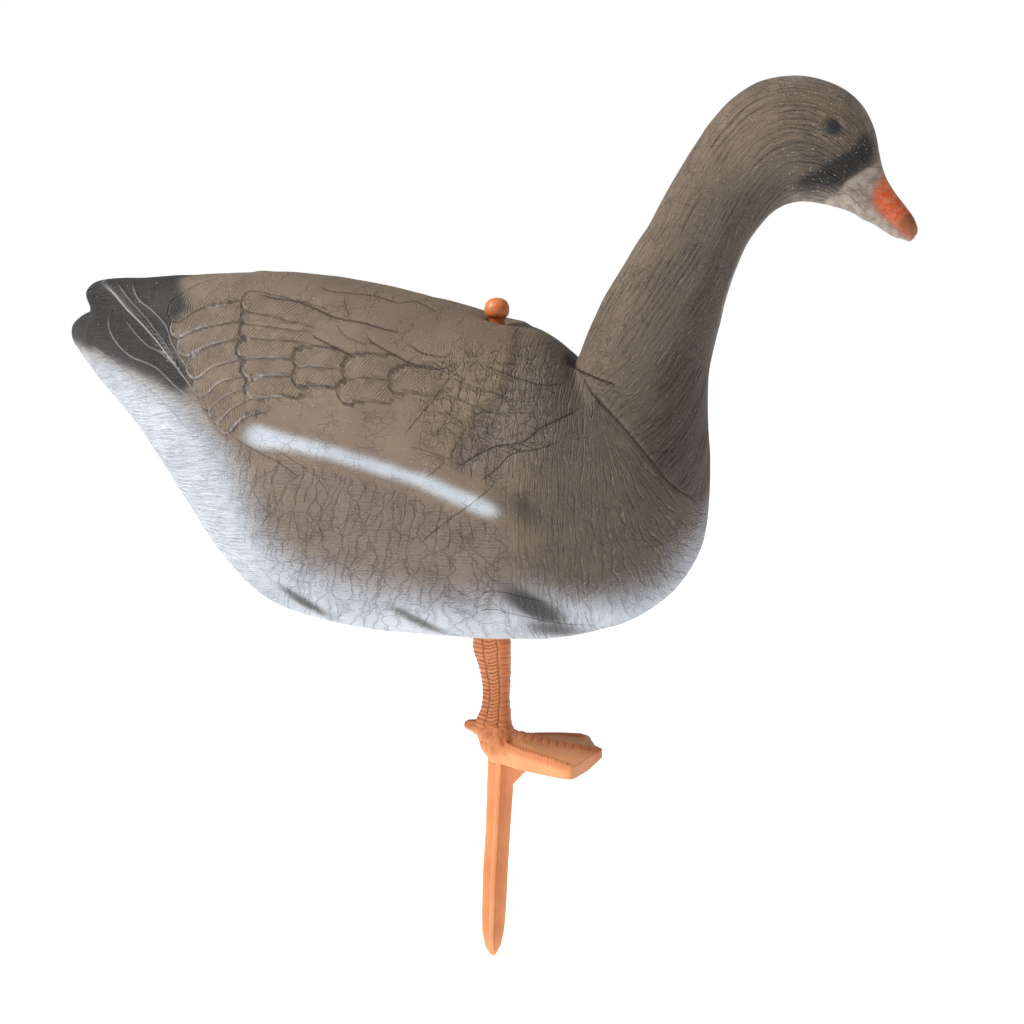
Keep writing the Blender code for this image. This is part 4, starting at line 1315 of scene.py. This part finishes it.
def support_rod(material):
    """The turned rod and mushroom knob, with a parting line down its sides and a gate mark on top."""
    outline = smooth_line(ROD_OUTLINE, 1.2)
    rings = []
    angles = np.arange(ROD_SIDES) * 2.0 * math.pi / ROD_SIDES
    seam = np.exp(-((np.sin(angles) / PARTING_SPREAD) ** 2)) * PARTING_LINE
    for radius, height in outline:
        spread = radius + seam * min(radius / ROD_RADIUS, 1.0)
        rings.append(circle(spread, height, ROD_SIDES))
    rod = ringed_solid("knobbed_rod", rings)
    points, _ = vertex_arrays(rod.data)
    # Painted shade in the band under the knob's overhang.
    under = smoothstep(*UNDER_KNOB_TOP, points[:, 2]) * smoothstep(*UNDER_KNOB_FOOT, points[:, 2])
    store_field(rod.data, "under", under)
    rod.data.materials.append(material)
    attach(rod, "rod")
    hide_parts("support_rod")


def rod_material():
    """Satin orange-brown plastic, with painted shade under the knob."""
    s = Shader("rod_plastic_satin", 0.35)
    coordinates = s.nodes.new("ShaderNodeTexCoord").outputs["Object"]
    broad = s.noise(coordinates, 90.0, 3.0)
    fine = s.noise(coordinates, 1100.0, 2.0, 0.6)
    colour = s.blend(s.ramp(broad, 0.35, 0.65), srgb(194, 106, 50), srgb(212, 122, 66))
    # Painted shade under the knob.
    colour = s.blend(s.times(s.field("under"), 0.6), colour, srgb(132, 54, 24))
    rubbed = s.times(s.ramp(s.noise(coordinates, 260.0, 2.0), 0.58, 0.68), 0.35)
    colour = s.blend(rubbed, colour, srgb(224, 142, 98))
    roughness = s.ramp(broad, 0.3, 0.7, 0.3, 0.45)
    return s.finish(colour, roughness, s.plus(s.times(fine, 0.04), s.times(broad, 0.1)), MM)


# ---------------------------------------------------------------- studio

FLOOR_SIZE = 30.0
BACKDROP_BRIGHTNESS = 1.0
FLOOR_GLOW = 0.68
SURROUND_BRIGHTNESS = 0.36
CAMERA_TARGET = Vector((0.0113, 0.0, 0.1929))
CAMERA_DISTANCE = 1.6
CAMERA_AZIMUTH = math.radians(10.0)
CAMERA_ELEVATION = math.radians(10.0)
CAMERA_LENS = 75.0
CAMERA_SENSOR = 36.0
FLOOR_GAP = 0.5
# Lights: place, size and power. Both aim at the middle of the bird's body.
KEY_LIGHT = ((-1.5, -0.75, 1.6), 0.5, 52.0)
FILL_LIGHT = ((-0.6, -2.0, 0.3), 1.0, 3.0)
LIGHT_AIM = (0.0, 0.0, 0.22)


def add_camera():
    """The camera, off the bird's right side, a little ahead of it and a little above."""
    data = bpy.data.cameras.new("camera")
    data.lens = CAMERA_LENS
    data.sensor_width = CAMERA_SENSOR
    data.clip_end = 60.0
    camera = bpy.data.objects.new("camera", data)
    away = Vector((
        math.sin(CAMERA_AZIMUTH) * math.cos(CAMERA_ELEVATION),
        -math.cos(CAMERA_AZIMUTH) * math.cos(CAMERA_ELEVATION),
        math.sin(CAMERA_ELEVATION),
    ))
    camera.location = CAMERA_TARGET + away * CAMERA_DISTANCE
    camera.rotation_euler = (-away).to_track_quat("-Z", "Y").to_euler()
    bpy.context.scene.collection.objects.link(camera)
    bpy.context.scene.camera = camera


def area_light(name, place, size, power):
    """A soft square light that faces the bird."""
    data = bpy.data.lights.new(name, "AREA")
    data.size = size
    data.energy = power
    light = bpy.data.objects.new(name, data)
    light.location = place
    light.rotation_euler = (Vector(LIGHT_AIM) - Vector(place)).to_track_quat("-Z", "Y").to_euler()
    bpy.context.scene.collection.objects.link(light)


def add_floor():
    """A plain pale floor just under the spike's tip."""
    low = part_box("leg_stake")[0].z - FLOOR_GAP * MM
    half = FLOOR_SIZE / 2.0
    corners = [(-half, -half, low), (half, -half, low), (half, half, low), (-half, half, low)]
    floor = mesh_from("studio_floor", corners, [(0, 1, 2, 3)], 30.0)
    material = bpy.data.materials.new("floor_paint")
    material.use_nodes = True
    shader = material.node_tree.nodes["Principled BSDF"]
    shader.inputs["Base Color"].default_value = (0.9, 0.9, 0.9, 1.0)
    shader.inputs["Roughness"].default_value = 0.85
    shader.inputs["Emission Color"].default_value = (1.0, 1.0, 1.0, 1.0)
    shader.inputs["Emission Strength"].default_value = FLOOR_GLOW
    floor.data.materials.append(material)


def add_studio():
    """White surroundings, a soft key from the upper left and a gentle fill."""
    world = bpy.data.worlds.new("studio")
    world.use_nodes = True
    nodes, links = world.node_tree.nodes, world.node_tree.links
    backdrop = nodes["Background"]
    backdrop.inputs["Color"].default_value = (1.0, 1.0, 1.0, 1.0)
    backdrop.inputs["Strength"].default_value = BACKDROP_BRIGHTNESS
    around = nodes.new("ShaderNodeBackground")
    around.inputs["Color"].default_value = (0.97, 0.98, 1.0, 1.0)
    around.inputs["Strength"].default_value = SURROUND_BRIGHTNESS
    seen, mix = nodes.new("ShaderNodeLightPath"), nodes.new("ShaderNodeMixShader")
    links.new(seen.outputs["Is Camera Ray"], mix.inputs[0])
    links.new(around.outputs[0], mix.inputs[1])
    links.new(backdrop.outputs[0], mix.inputs[2])
    links.new(mix.outputs[0], nodes["World Output"].inputs[0])
    bpy.context.scene.world = world
    bpy.context.scene.view_settings.view_transform = "Standard"
    area_light("key", *KEY_LIGHT)
    area_light("fill", *FILL_LIGHT)
    add_floor()


add_camera()
add_studio()
foam_halves(foam_material())
leg_stake(stake_material())
support_rod(rod_material())
